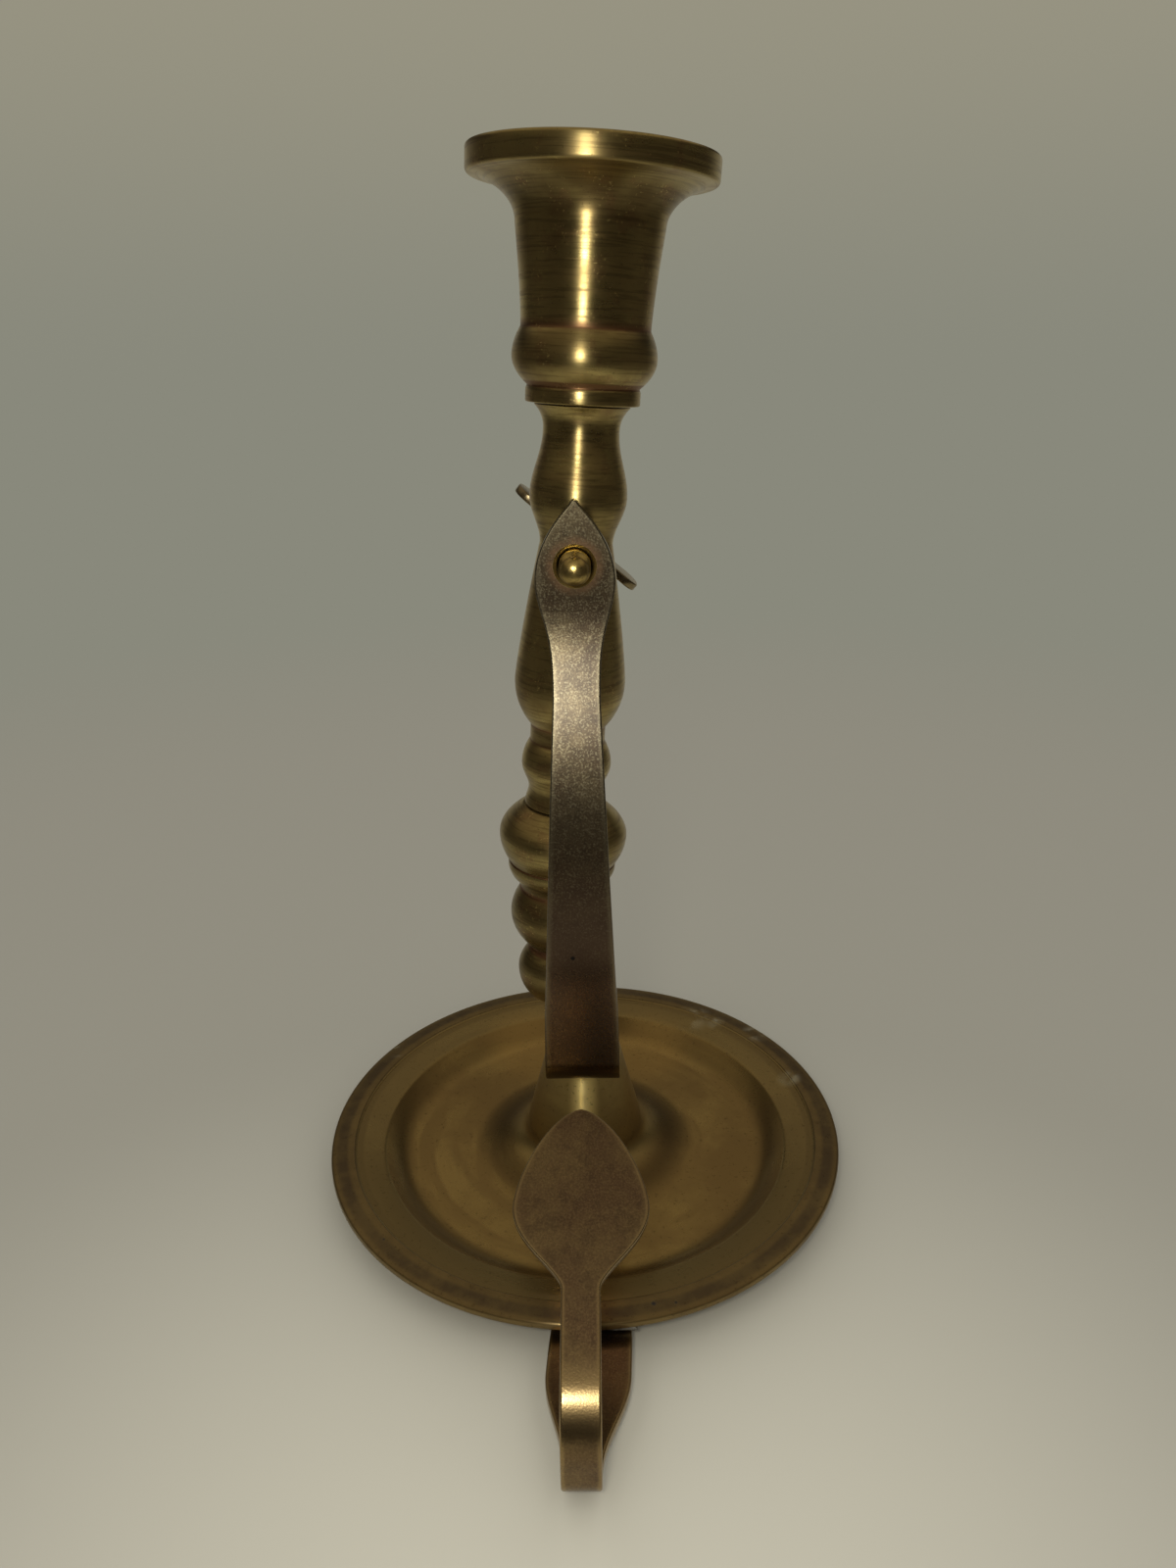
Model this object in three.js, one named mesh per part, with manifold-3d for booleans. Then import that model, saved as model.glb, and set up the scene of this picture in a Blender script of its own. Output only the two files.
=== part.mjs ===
// Gimbal candle holder in brass. A drip pan with a finger handle carries a bowed arm on its boss.
// A turned candlestick hangs from the top of the arm on a thumbscrew, and its heavy lower end keeps
// the candle upright when the pan is tilted or held against a bulkhead.
// Millimetres, +Z up. The pan's axis is upright, and the handle and the arm's bow lie on its -Y side.

import * as THREE from "three";
import { mergeVertices } from "three/addons/utils/BufferGeometryUtils.js";
import Module from "manifold-3d";

const wasm = await Module();
wasm.setup();

// Clearances
const seatGap = 0.3; // between two pieces that rest on each other
const holeGap = 0.325; // round a shank in its hole, on the radius
const swingGap = 0.4; // between the arm and the candlestick swinging past it
const slotWidth = 1.2; // of a screwdriver slot
const slotDepth = 1.3;
const cutPast = 1; // how far a cutter reaches past what it cuts

// Drip pan
const panRadius = 63;
const panRimTop = 8.4; // above the table
const panRimThickness = 2.1;
const panRimBand = 5.8; // width of the flat outer band
const panStep = 0.4; // drop from the band to the cove inside it
const panRimRound = panRimThickness / 3; // of the rounded outer edge
const panCoveWidth = 7.2; // from the step to the edge of the well
const panCoveDrop = 1.4;
const panWellEdge = panRadius - panRimBand - panCoveWidth;
const panWellWall = 7; // width of the curved wall of the well
const panFloor = 2.2; // thickness of the floor
const panShell = 2; // thickness of the wall of the well and of the boss
const panFootWidth = 13; // of the flat ring that stands on the table

// Boss in the middle of the pan, hollow underneath
const bossHeight = 30.2;
const bossTopRadius = 9;
const bossNeckRadius = 14.2; // where the taper of the boss runs into its flare
const bossNeckHeight = 10;
const bossFlareRadius = 27; // where the flare meets the floor
const bossRoof = 3.7;

// Screw that holds the arm on the boss, with its washers and nut
const swivelShankRadius = 3.175;
const swivelHeadRadius = 5.5;
const swivelHeadHeight = 3.2;
const swivelTail = 1.5; // of the screw below the nut
const frictionWasherRadius = 8;
const frictionWasherThickness = 1;
const springWasherRadius = 5.4;
const springWasherThickness = 1.2;
const springWasherSplit = 1;
const nutWasherRadius = 6;
const nutWasherThickness = 1.2;
const nutAcrossFlats = 11.1;
const nutHeight = 5;

// Gimbal arm, one strip of brass
const armThickness = 3;
const armFootWidth = 17;
const armFootReach = 20.9; // from the pan's axis to the outer face above the bottom bend
const armBendRadius = 9; // of the outer face of the bottom bend
const armBow = 24.4; // from the pan's axis to the outer face at the widest of the bow
const armBowDrop = 66; // from the pivot down to the widest of the bow
const armTaperDrop = 97; // from the pivot down to where the strip starts to taper
const armTaperWidth = 16.2;
const armNeckDrop = 27; // from the pivot down to the narrowest place
const armNeckWidth = 9.7;
const armLeafWidth = 15.9;
const armLeafDrop = 3; // from the pivot down to the widest of the leaf
const armTipRise = 12.6; // from the pivot up to the point of the leaf
const armBowPull = 0.55; // share of the height over which the bow stays upright
const armLeafPull = 0.3; // share of the height over which the leaf stays upright
const armFlatDrop = 7; // from the pivot down to where the leaf starts to bend forward
const armBulgeRelief = 1.95; // how far the stem's bulge may stand out beyond its knob behind the bend

// Carrying handle, one strip of brass
const handleThickness = 2.4;
const handleWidth = 7.3;
const handleProjection = 32.2; // of the front of the loop beyond the pan's rim
const handleLowerRadius = 4.5; // of the outer face of the lower bend
const handleUpperRadius = 13; // of the outer face of the upper bend
const handleFrontHeight = 4.4; // of the upright stretch between the two bends
const handleSlope = 27; // of the thumb rest, in degrees
const handleStrapLength = 15.8; // from the upper bend to the waist under the thumb rest
const thumbShoulder = 14.7; // length from the waist to the widest of the thumb rest
const thumbTip = 19.7; // length from there to the tip
const thumbWidth = 26.4;
const lowerLeafWidth = 16.8;
const lowerLeafBeyond = 8; // from the pan's rim to the widest of the lower leaf
const lowerLeafMargin = 1.3; // between the wall of the well and the leaf's inner end
const lowerLeafSkew = 3.2; // degrees, the lower leaf is bent a little to the right of the strap
const solderThickness = 1.1;
const solderMargin = 1; // of the solder beyond the leaf on each side

// Candlestick, measured along its own axis from the pivot
const candlestickLean = 3.54; // degrees off plumb at rest
const stemWaistRadius = 7.5;
const stemWaistRise = 2.6;
const stemKnobRadius = 9.9;
const stemKnobRise = 11.8;
const stemNeckRadius = 7.6;
const stemNeckRise = 24.4;
const stemTopRadius = 9.6;
const stemTopRise = 29.2;
const stemBulgeRadius = 11.85;
const stemBulgeDrop = 26.2;
const stemGrooveRadius = 8.15;
const stemGrooveDrop = 36.4;
const stemGrooveWidth = 3.6;
const stemBeadRadius = 9.85;
const stemBeadDrop = 45.4;
const stemAnkleRadius = 8.15;
const stemAnkleDrop = 51.2;
const stemFootRadius = 8.9;
const stemFootDrop = 55;
const stemFlatReach = 7; // from the axis to the flats that the pivot's washers bear on

// Candle cup, measured up from its bottom face
const cupHeight = 43.2;
const cupRimRadius = 23.4;
const cupRimBand = 4.5;
const cupRimLip = 1.8;
const cupRimRound = 0.5; // of the rim's upper edge
const cupLipStep = 0.8; // drop inside the lip
const cupCollarRadius = 11.3;
const cupCollarHeight = 2.6;
const cupGrooveRadius = 11;
const cupBeadRadius = 14.15;
const cupBeadHeight = 8.4;
const cupBarrelRadius = 12.4;
const cupBarrelStart = 14.4;
const cupFlareRadius = 14.1;
const cupFlareStart = 31.2;
const candleDiameter = 21.7;
const candleGap = 0.15; // round the candle, on the radius
const socketDepth = 25;
const socketMouth = 4.8; // from the rim down to the mouth of the socket
const socketChamfer = 1.4;
const cupFloor = cupHeight - socketMouth - socketDepth;

// Screw that joins the cup to the stem
const cupScrewRadius = 2.45;
const cupScrewHeadRadius = 4.6;
const cupScrewHeadHeight = 2.6;
const cupScrewGrip = 15; // length in the stem
const cupScrewSeat = cupFloor - cupScrewHeadHeight - seatGap * 2; // the head is sunk in the floor

// Bob, the heavy lower end, measured down from its top face
const bobTopRadius = 9.2;
const bobBeadRadius = 14.35;
const bobBeadDrop = 6.9;
const bobStepRadius = 12;
const bobStepDrop = 13.5;
const bobRingRadius = 12.2;
const bobRingDrop = 15.3;
const bobRingHeight = 3.4;
const bobCoveRadius = 9.15;
const bobCoveDrop = 20.6;
const bobSecondRadius = 11.3;
const bobSecondDrop = 26.9;
const bobWristRadius = 6.3;
const bobWristDrop = 35.9;
const bobFinialRadius = 9.15;
const bobFinialDrop = 41.7;
const bobLength = 51.2;
const bobClearance = 4.2; // from the swivel screw's head up to the bob hanging plumb

// Stud that joins the bob to the stem
const studRadius = 2.9;
const studGrip = 12.5; // length in each piece
const studEndGap = 0.5;

// Thumbscrew and its washers
const thumbShankRadius = 3.175;
const thumbShankEnd = 5; // of the straight end beyond the arm's outer face
const thumbDome = 2;
const pivotWasherRadius = 6;
const backWasherThickness = 1.2;
const hubFlangeRadius = 5.4;
const hubFlangeThickness = 1.8;
const hubRadius = 4.4;
const hubLength = 10;
const wingSpan = 34.6;
const wingDepth = 8.8;
const wingThickness = 1.8;
const wingTongue = 4.4; // of the wing in the slot of the hub
const wingTongueWidth = 7.6;
const wingTipRadius = 3.4;
const wingHollow = 2.4; // pull of the hollow between the two tips
const wingTurn = 40.8; // degrees at rest

// Facets
const panFacets = 48;
const turnedFacets = 32;
const smallFacets = 20;
const curveSteps = 4;

// Distances from the pan's axis that follow
const handleReach = panRadius + handleProjection;
const lowerLeafReach = panRadius + lowerLeafBeyond;
const lowerLeafEnd = panWellEdge + panShell / 2 + lowerLeafMargin;

// Heights that follow
const panRimUnder = panRimTop - panRimThickness;
const swivelHoleRadius = swivelShankRadius + holeGap;
const frictionWasherBase = bossHeight + seatGap;
const armFootUnder = frictionWasherBase + frictionWasherThickness + seatGap;
const armFootTop = armFootUnder + armThickness;
const springWasherBase = armFootTop + seatGap;
const swivelHeadBase = springWasherBase + springWasherThickness + seatGap;
const bobReach = stemFootDrop + seatGap + bobLength;
const pivotHeight = swivelHeadBase + swivelHeadHeight + bobClearance + bobReach;
const nutWasherBase = bossHeight - bossRoof - seatGap - nutWasherThickness;
const nutBase = nutWasherBase - seatGap - nutHeight;
const pivotHoleRadius = thumbShankRadius + holeGap;

// Places along the pivot's axis that follow
const washerInner = stemFlatReach + seatGap;
const backWasherOuter = washerInner + backWasherThickness;
const armLeafInner = Math.max(stemKnobRadius, stemBulgeRadius - armBulgeRelief) + swingGap;
const armLeafOuter = armLeafInner + armThickness;
const spacerOuter = armLeafInner - seatGap;
const hubFront = backWasherOuter + seatGap;
const hubBack = hubFront + hubLength;

// A solid from a closed geometry, with its shared vertices merged.
function solidOf(geometry) {
  const plain = geometry.clone();
  plain.deleteAttribute("normal");
  plain.deleteAttribute("uv");
  const merged = mergeVertices(plain, 1e-4);
  const corners = merged.index.array;
  const triVerts = [];
  for (let i = 0; i < corners.length; i += 3) {
    const [a, b, c] = corners.slice(i, i + 3);
    if (a !== b && b !== c && c !== a) triVerts.push(a, b, c);
  }
  const vertProperties = merged.attributes.position.array;
  return new wasm.Manifold(
    new wasm.Mesh({ numProp: 3, vertProperties, triVerts: new Uint32Array(triVerts) }),
  );
}

// A geometry from a solid, for a mesh.
function geometryOf(solid) {
  const { vertProperties, triVerts } = solid.getMesh();
  const geometry = new THREE.BufferGeometry();
  geometry.setAttribute("position", new THREE.BufferAttribute(vertProperties, 3));
  geometry.setIndex(new THREE.BufferAttribute(triVerts, 1));
  geometry.computeVertexNormals();
  return geometry;
}

// The outline that a turner cuts, as points of radius and height.
class Turning {
  constructor(radius, height) {
    this.points = [new THREE.Vector2(radius, height)];
  }
  // Straight cut to a radius and height.
  to(radius, height) {
    this.points.push(new THREE.Vector2(radius, height));
    return this;
  }
  // A cut whose share of the way in radius is a function of its share of the way in height.
  cut(radius, height, share, steps = curveSteps) {
    const start = this.points.at(-1);
    for (let i = 1; i <= steps; i++) {
      const t = i / steps;
      const r = THREE.MathUtils.lerp(start.x, radius, share(t));
      this.to(r, THREE.MathUtils.lerp(start.y, height, t));
    }
    return this;
  }
  // From an edge to the crest of a bead, level at the crest.
  crest(radius, height, fullness = 2) {
    return this.cut(radius, height, (t) => 1 - (1 - t) ** fullness);
  }
  // From the crest of a bead to an edge, level at the crest.
  edge(radius, height, fullness = 2) {
    return this.cut(radius, height, (t) => t ** fullness);
  }
  // An S-shaped cut, level at both ends.
  sweep(radius, height, pull = 1) {
    return this.cut(radius, height, (t) => (1 - Math.cos(Math.PI * t ** pull)) / 2);
  }
  // Back to the start, for a ring with a hole through it.
  close() {
    return this.to(this.points[0].x, this.points[0].y);
  }
  // The turned solid about the Z axis.
  solid(facets = turnedFacets) {
    const geometry = new THREE.LatheGeometry(this.points, facets);
    geometry.rotateX(Math.PI / 2);
    return solidOf(geometry);
  }
}

// A cylinder on the Z axis between two heights.
function rod(radius, low, high, facets = smallFacets) {
  const geometry = new THREE.CylinderGeometry(radius, radius, high - low, facets);
  geometry.rotateX(Math.PI / 2);
  geometry.translate(0, 0, (low + high) / 2);
  return solidOf(geometry);
}

// A box between two corners.
function block(low, high) {
  const size = high.map((value, i) => value - low[i]);
  const middle = high.map((value, i) => (value + low[i]) / 2);
  return solidOf(new THREE.BoxGeometry(...size).translate(...middle));
}

// A flat washer on the Z axis.
function washer(outerRadius, innerRadius, base, thickness) {
  return new Turning(innerRadius, base)
    .to(outerRadius, base)
    .to(outerRadius, base + thickness)
    .to(innerRadius, base + thickness)
    .close()
    .solid(smallFacets);
}

// The same solid with its Z axis laid along +Y.
const alongY = (solid) => solid.rotate([-90, 0, 0]);

// The cross-section of a bent strip, from the path of its middle line.
function stripSection(path, steps, thickness) {
  const apart = (point, i, all) => i === 0 || point.distanceTo(all[i - 1]) > 1e-3;
  const middle = path.getPoints(steps).filter(apart);
  const sides = [[], []];
  middle.forEach((point, i) => {
    const before = middle[Math.max(i - 1, 0)];
    const after = middle[Math.min(i + 1, middle.length - 1)];
    const along = after.clone().sub(before).normalize();
    const across = new THREE.Vector2(-along.y, along.x).multiplyScalar(thickness / 2);
    sides[0].push(point.clone().add(across));
    sides[1].unshift(point.clone().sub(across));
  });
  return new THREE.Shape([...sides[0], ...sides[1]]);
}

// A section drawn in Y and Z, as a solid of a width centred on X.
function acrossX(shape, width) {
  const geometry = new THREE.ExtrudeGeometry(shape, { depth: width, bevelEnabled: false });
  geometry.translate(0, 0, -width / 2);
  const toSection = new THREE.Matrix4().makeBasis(
    new THREE.Vector3(0, 1, 0),
    new THREE.Vector3(0, 0, 1),
    new THREE.Vector3(1, 0, 0),
  );
  return solidOf(geometry.applyMatrix4(toSection));
}

// An outline drawn as half widths at distances, closed by its mirror image.
function mirroredOutline(halves) {
  const right = halves.map(([half, at]) => new THREE.Vector2(half, at));
  const left = halves.map(([half, at]) => new THREE.Vector2(-half, at)).reverse();
  return new THREE.Shape([...right, ...left]);
}

// Half widths along a stretch from one distance to another.
function taper(fromHalf, toHalf, fromAt, toAt, share, steps = curveSteps) {
  const halves = [];
  for (let i = 1; i <= steps; i++) {
    const t = i / steps;
    const half = THREE.MathUtils.lerp(fromHalf, toHalf, share(t));
    halves.push([half, THREE.MathUtils.lerp(fromAt, toAt, t)]);
  }
  return halves;
}
const smoothShare = (t) => (1 - Math.cos(Math.PI * t)) / 2;

// Drip pan: flat rim band, cove, well and hollow trumpet-shaped boss.
function dripPan() {
  const coveTop = panRimTop - panStep;
  const wellTop = coveTop - panCoveDrop;
  const bandEdge = panRadius - panRimBand;
  const wellFoot = panWellEdge - panWellWall;
  const footOuter = wellFoot + panShell / 2;
  const footInner = footOuter - panFootWidth;
  const bossFlare = 2.8;
  return new Turning(swivelHoleRadius, bossHeight - bossRoof)
    .to(bossTopRadius - panShell, bossHeight - bossRoof)
    .to(bossNeckRadius - panShell, bossNeckHeight)
    .cut(footInner, 0, (t) => t ** bossFlare, 6)
    .to(footOuter, 0)
    .cut(panWellEdge + panShell / 2, panRimUnder, (t) => t ** 0.6, 4)
    .to(panRadius - panRimRound, panRimUnder)
    .to(panRadius, panRimUnder + panRimRound)
    .to(panRadius, panRimTop - panRimRound)
    .to(panRadius - panRimRound, panRimTop)
    .to(bandEdge + panStep, panRimTop)
    .to(bandEdge, coveTop)
    .cut(panWellEdge, wellTop, (t) => t ** 0.8, 3)
    .cut(wellFoot, panFloor, (t) => 1 - (1 - t) ** 0.55, 4)
    .to(bossFlareRadius, panFloor)
    .cut(bossNeckRadius, bossNeckHeight, (t) => 1 - (1 - t) ** bossFlare, 6)
    .to(bossTopRadius, bossHeight)
    .to(swivelHoleRadius, bossHeight)
    .close()
    .solid(panFacets);
}

// The same solid turned sideways about the bottom bend of the handle, as the lower leaf is.
function skewed(solid) {
  const at = handleReach - handleLowerRadius;
  return solid.translate([0, at, 0]).rotate([0, 0, -lowerLeafSkew]).translate([0, -at, 0]);
}

// Carrying handle: a lower leaf under the rim, the finger loop and the thumb rest.
function carryingHandle() {
  const middle = handleThickness / 2;
  const leafMiddle = panRimUnder - seatGap * 2 - solderThickness - middle;
  const lowerCentre = leafMiddle - middle + handleLowerRadius;
  const upperCentre = lowerCentre + handleFrontHeight;
  const upperAt = -handleReach + handleUpperRadius;
  const slope = THREE.MathUtils.degToRad(handleSlope);
  const path = new THREE.Path();
  const lowerAt = -handleReach + handleLowerRadius;
  path.moveTo(-lowerLeafEnd, leafMiddle);
  path.lineTo(lowerAt, leafMiddle);
  path.absarc(lowerAt, lowerCentre, handleLowerRadius - middle, -Math.PI / 2, -Math.PI, true);
  const upperEnd = Math.PI / 2 + slope;
  path.absarc(upperAt, upperCentre, handleUpperRadius - middle, Math.PI, upperEnd, true);
  const bendEnd = path.currentPoint.clone();
  const restLength = handleStrapLength + thumbShoulder + thumbTip;
  path.lineTo(
    bendEnd.x + restLength * Math.cos(slope),
    bendEnd.y + restLength * Math.sin(slope),
  );
  const strip = acrossX(stripSection(path, 6, handleThickness), thumbWidth + cutPast * 2);

  const half = handleWidth / 2;
  const beyond = -handleReach - cutPast;
  const alongSlope = (length) => bendEnd.x + length * Math.cos(slope);
  const waist = alongSlope(handleStrapLength);
  const shoulder = alongSlope(handleStrapLength + thumbShoulder);
  const tip = alongSlope(restLength);
  const tipShare = (t) => 1 - (1 - t ** 1.5) ** 0.62;
  const thumbRest = mirroredOutline([
    [half, beyond],
    [half, waist],
    ...taper(half, thumbWidth / 2, waist, shoulder, (t) => smoothShare(t ** 0.75), 6),
    ...taper(thumbWidth / 2, 0.5, shoulder, tip, tipShare, 8),
  ]);
  const leafHalf = lowerLeafWidth / 2;
  const leafShare = (t) => 1 - (1 - t ** 4) ** 0.25;
  const lowerLeaf = mirroredOutline([
    [half, beyond],
    ...taper(half, leafHalf, lowerAt, -lowerLeafReach, smoothShare, 6),
    ...taper(leafHalf, 1, -lowerLeafReach, -lowerLeafEnd, leafShare, 8),
  ]);
  const split = lowerCentre + handleFrontHeight / 2;
  const height = upperCentre + handleUpperRadius + restLength;
  const lowerCutter = new THREE.ExtrudeGeometry(lowerLeaf, { depth: split, bevelEnabled: false });
  const upperCutter = new THREE.ExtrudeGeometry(thumbRest, { depth: height, bevelEnabled: false });
  upperCutter.translate(0, 0, lowerCentre);
  return strip.intersect(skewed(solidOf(lowerCutter)).add(solidOf(upperCutter)));
}

// Solder between the rim and the lower leaf of the handle.
function handleSolder() {
  const half = lowerLeafWidth / 2 + solderMargin;
  const outer = Math.sqrt((panRadius - panRimRound) ** 2 - half ** 2) - seatGap;
  const inner = lowerLeafEnd;
  const top = panRimUnder - seatGap;
  return skewed(block([-half, -outer, top - solderThickness], [half, -inner, top]));
}

// Screw from above, its slotted round head on the arm's foot.
function swivelScrew() {
  const headTop = swivelHeadBase + swivelHeadHeight;
  const body = new Turning(0, nutBase - swivelTail)
    .to(swivelShankRadius, nutBase - swivelTail)
    .to(swivelShankRadius, swivelHeadBase)
    .to(swivelHeadRadius, swivelHeadBase)
    .cut(0, headTop, (t) => 1 - Math.sqrt(1 - t ** 2), 6)
    .solid(smallFacets);
  const wide = swivelHeadRadius + cutPast;
  const slotLow = [-wide, -slotWidth / 2, headTop - slotDepth];
  return body.subtract(block(slotLow, [wide, slotWidth / 2, headTop + cutPast]));
}

// Split spring washer under the head of the swivel screw.
function springWasher() {
  const ring = washer(
    springWasherRadius,
    swivelHoleRadius,
    springWasherBase,
    springWasherThickness,
  );
  const half = springWasherSplit / 2;
  const top = springWasherBase + springWasherThickness;
  const high = [half, springWasherRadius + cutPast, top + cutPast];
  return ring.subtract(block([-half, 0, springWasherBase - cutPast], high));
}

// Hexagon nut inside the boss.
function swivelNut() {
  const cornerRadius = nutAcrossFlats / Math.sqrt(3);
  const body = rod(cornerRadius, nutBase, nutBase + nutHeight, 6);
  return body.subtract(rod(swivelHoleRadius, nutBase - cutPast, nutBase + nutHeight + cutPast));
}

// Gimbal arm: foot on the boss, bow, and leaf with the threaded hole of the pivot.
function gimbalArm() {
  const middle = armThickness / 2;
  const footMiddle = armFootUnder + middle;
  const bendCentre = armFootUnder + armBendRadius;
  const bendAt = -armFootReach + armBendRadius;
  const bowMiddle = -armBow + middle;
  const leafMiddle = -armLeafOuter + middle;
  const bowHeight = pivotHeight - armBowDrop;
  const flatHeight = pivotHeight - armFlatDrop;
  const path = new THREE.Path();
  path.moveTo(armFootWidth / 2, footMiddle);
  path.lineTo(bendAt, footMiddle);
  path.absarc(bendAt, bendCentre, armBendRadius - middle, -Math.PI / 2, -Math.PI, true);
  const start = path.currentPoint.clone();
  const lift = (start.y + bowHeight) / 2;
  const lean = (start.x + bowMiddle) / 2;
  path.bezierCurveTo(lean, lift, bowMiddle, lift, bowMiddle, bowHeight);
  const bend = flatHeight - bowHeight;
  const low = bowHeight + bend * armBowPull;
  const high = flatHeight - bend * armLeafPull;
  path.bezierCurveTo(bowMiddle, low, leafMiddle, high, leafMiddle, flatHeight);
  path.lineTo(leafMiddle, pivotHeight + armTipRise);
  const strip = acrossX(stripSection(path, 8, armThickness), armFootWidth + cutPast * 2);

  const footHalf = armFootWidth / 2;
  const neck = pivotHeight - armNeckDrop;
  const widest = pivotHeight - armLeafDrop;
  const tip = pivotHeight + armTipRise;
  const neckHalf = armNeckWidth / 2;
  const leafHalf = armLeafWidth / 2;
  const outline = mirroredOutline([
    [footHalf, armFootUnder - cutPast],
    [footHalf, armFootTop],
    [armTaperWidth / 2, pivotHeight - armTaperDrop],
    ...taper(armTaperWidth / 2, neckHalf, pivotHeight - armTaperDrop, neck, (t) => t ** 0.9, 4),
    ...taper(neckHalf, leafHalf, neck, widest, (t) => smoothShare(t ** 1.7), 8),
    ...taper(leafHalf, 0.4, widest, tip, (t) => t ** 2, 8),
  ]);
  const depth = armBow + armFootWidth;
  const front = new THREE.ExtrudeGeometry(outline, { depth, bevelEnabled: false });
  front.rotateX(Math.PI / 2).translate(0, armFootWidth - cutPast, 0);

  const below = armFootUnder - cutPast;
  const above = armFootTop + cutPast;
  const wide = footHalf + cutPast;
  const roundEnd = rod(footHalf, below, above, turnedFacets);
  const ahead = block([-wide, -armBow - cutPast, below], [wide, 0, tip + cutPast]);
  const swivelHole = rod(swivelHoleRadius, below, above);
  const outside = -armLeafOuter - cutPast;
  const pivotHole = alongY(rod(pivotHoleRadius, outside, -armLeafInner + cutPast));
  return strip
    .intersect(solidOf(front))
    .intersect(roundEnd.add(ahead))
    .subtract(swivelHole)
    .subtract(pivotHole.translate([0, 0, pivotHeight]));
}

// Stem: baluster between the cup and the bob, with the cross bore and its two flats.
function stem() {
  const screwHole = cupScrewRadius + holeGap;
  const studHole = studRadius + holeGap;
  const turned = new Turning(0, -stemFootDrop + studGrip + studEndGap)
    .to(studHole, -stemFootDrop + studGrip + studEndGap)
    .to(studHole, -stemFootDrop)
    .to(stemFootRadius, -stemFootDrop)
    .sweep(stemAnkleRadius, -stemAnkleDrop)
    .sweep(stemBeadRadius, -stemBeadDrop)
    .edge(stemGrooveRadius, -stemGrooveDrop - stemGrooveWidth)
    .to(stemGrooveRadius, -stemGrooveDrop)
    .crest(stemBulgeRadius, -stemBulgeDrop, 2.3)
    .edge(stemWaistRadius, stemWaistRise, 1.2)
    .sweep(stemKnobRadius, stemKnobRise, 0.9)
    .sweep(stemNeckRadius, stemNeckRise)
    .edge(stemTopRadius, stemTopRise, 2.5)
    .to(screwHole, stemTopRise)
    .to(screwHole, stemTopRise - cupScrewGrip - studEndGap)
    .to(0, stemTopRise - cupScrewGrip - studEndGap)
    .solid();
  const bore = alongY(rod(pivotHoleRadius, -stemBulgeRadius * 2, stemBulgeRadius * 2));
  const spotRadius = pivotWasherRadius + holeGap * 2;
  const spot = alongY(rod(spotRadius, stemFlatReach, stemBulgeRadius * 2));
  const otherSpot = alongY(rod(spotRadius, -stemBulgeRadius * 2, -stemFlatReach));
  return turned.subtract(bore).subtract(spot).subtract(otherSpot);
}

// Candle cup: collar, bead, barrel and broad rim round the candle's socket.
function candleCup() {
  const hole = cupScrewRadius + holeGap;
  const recess = cupScrewHeadRadius + holeGap * 2;
  const socket = candleDiameter / 2 + candleGap;
  const rimUnder = cupHeight - cupRimBand;
  const lipInner = cupRimRadius - cupRimLip;
  const mouth = cupHeight - socketMouth;
  return new Turning(hole, 0)
    .to(cupCollarRadius, 0)
    .to(cupCollarRadius, cupCollarHeight)
    .to(cupGrooveRadius, cupCollarHeight + 0.5)
    .crest(cupBeadRadius, cupBeadHeight)
    .sweep(cupBarrelRadius, cupBarrelStart)
    .cut(cupFlareRadius, cupFlareStart, (t) => t ** 1.4, 4)
    .cut(cupRimRadius - 0.3, rimUnder, (t) => 1 - (1 - t ** 2) ** 0.6, 7)
    .to(cupRimRadius, rimUnder + 0.4)
    .to(cupRimRadius, cupHeight - cupRimRound)
    .to(cupRimRadius - cupRimRound, cupHeight)
    .to(lipInner, cupHeight)
    .to(lipInner - cupLipStep, cupHeight - cupLipStep)
    .to(socket + socketChamfer, mouth + socketChamfer)
    .to(socket, mouth)
    .to(socket, cupFloor)
    .to(recess, cupFloor)
    .to(recess, cupScrewSeat)
    .to(hole, cupScrewSeat)
    .close()
    .solid();
}

// Slotted screw in the floor of the socket.
function cupScrew() {
  const base = cupScrewSeat + seatGap;
  const top = base + cupScrewHeadHeight;
  const end = -seatGap - cupScrewGrip;
  const body = new Turning(0, end)
    .to(cupScrewRadius, end)
    .to(cupScrewRadius, base)
    .to(cupScrewHeadRadius, base)
    .to(cupScrewHeadRadius, top - 0.6)
    .to(cupScrewHeadRadius - 0.8, top)
    .to(0, top)
    .solid(smallFacets);
  const wide = cupScrewHeadRadius + cutPast;
  const slotLow = [-wide, -slotWidth / 2, top - slotDepth];
  return body.subtract(block(slotLow, [wide, slotWidth / 2, top + cutPast]));
}

// Bob: big bead, ring, second bead and finial, drilled for the stud.
function bob() {
  const studHole = studRadius + holeGap;
  const holeEnd = -studGrip - studEndGap;
  const ringTop = -bobRingDrop + bobRingHeight / 2;
  const ringFoot = -bobRingDrop - bobRingHeight / 2;
  return new Turning(0, -bobLength)
    .cut(bobFinialRadius, -bobFinialDrop, (t) => Math.sqrt(1 - (1 - t) ** 2), 8)
    .edge(bobWristRadius, -bobWristDrop)
    .crest(bobSecondRadius, -bobSecondDrop)
    .edge(bobCoveRadius, -bobCoveDrop)
    .edge(bobRingRadius - 0.8, ringFoot, 1.5)
    .to(bobRingRadius, -bobRingDrop)
    .to(bobRingRadius, ringTop)
    .to(bobStepRadius, -bobStepDrop)
    .crest(bobBeadRadius, -bobBeadDrop)
    .edge(bobTopRadius, 0)
    .to(studHole, 0)
    .to(studHole, holeEnd)
    .to(0, holeEnd)
    .solid();
}

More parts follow.
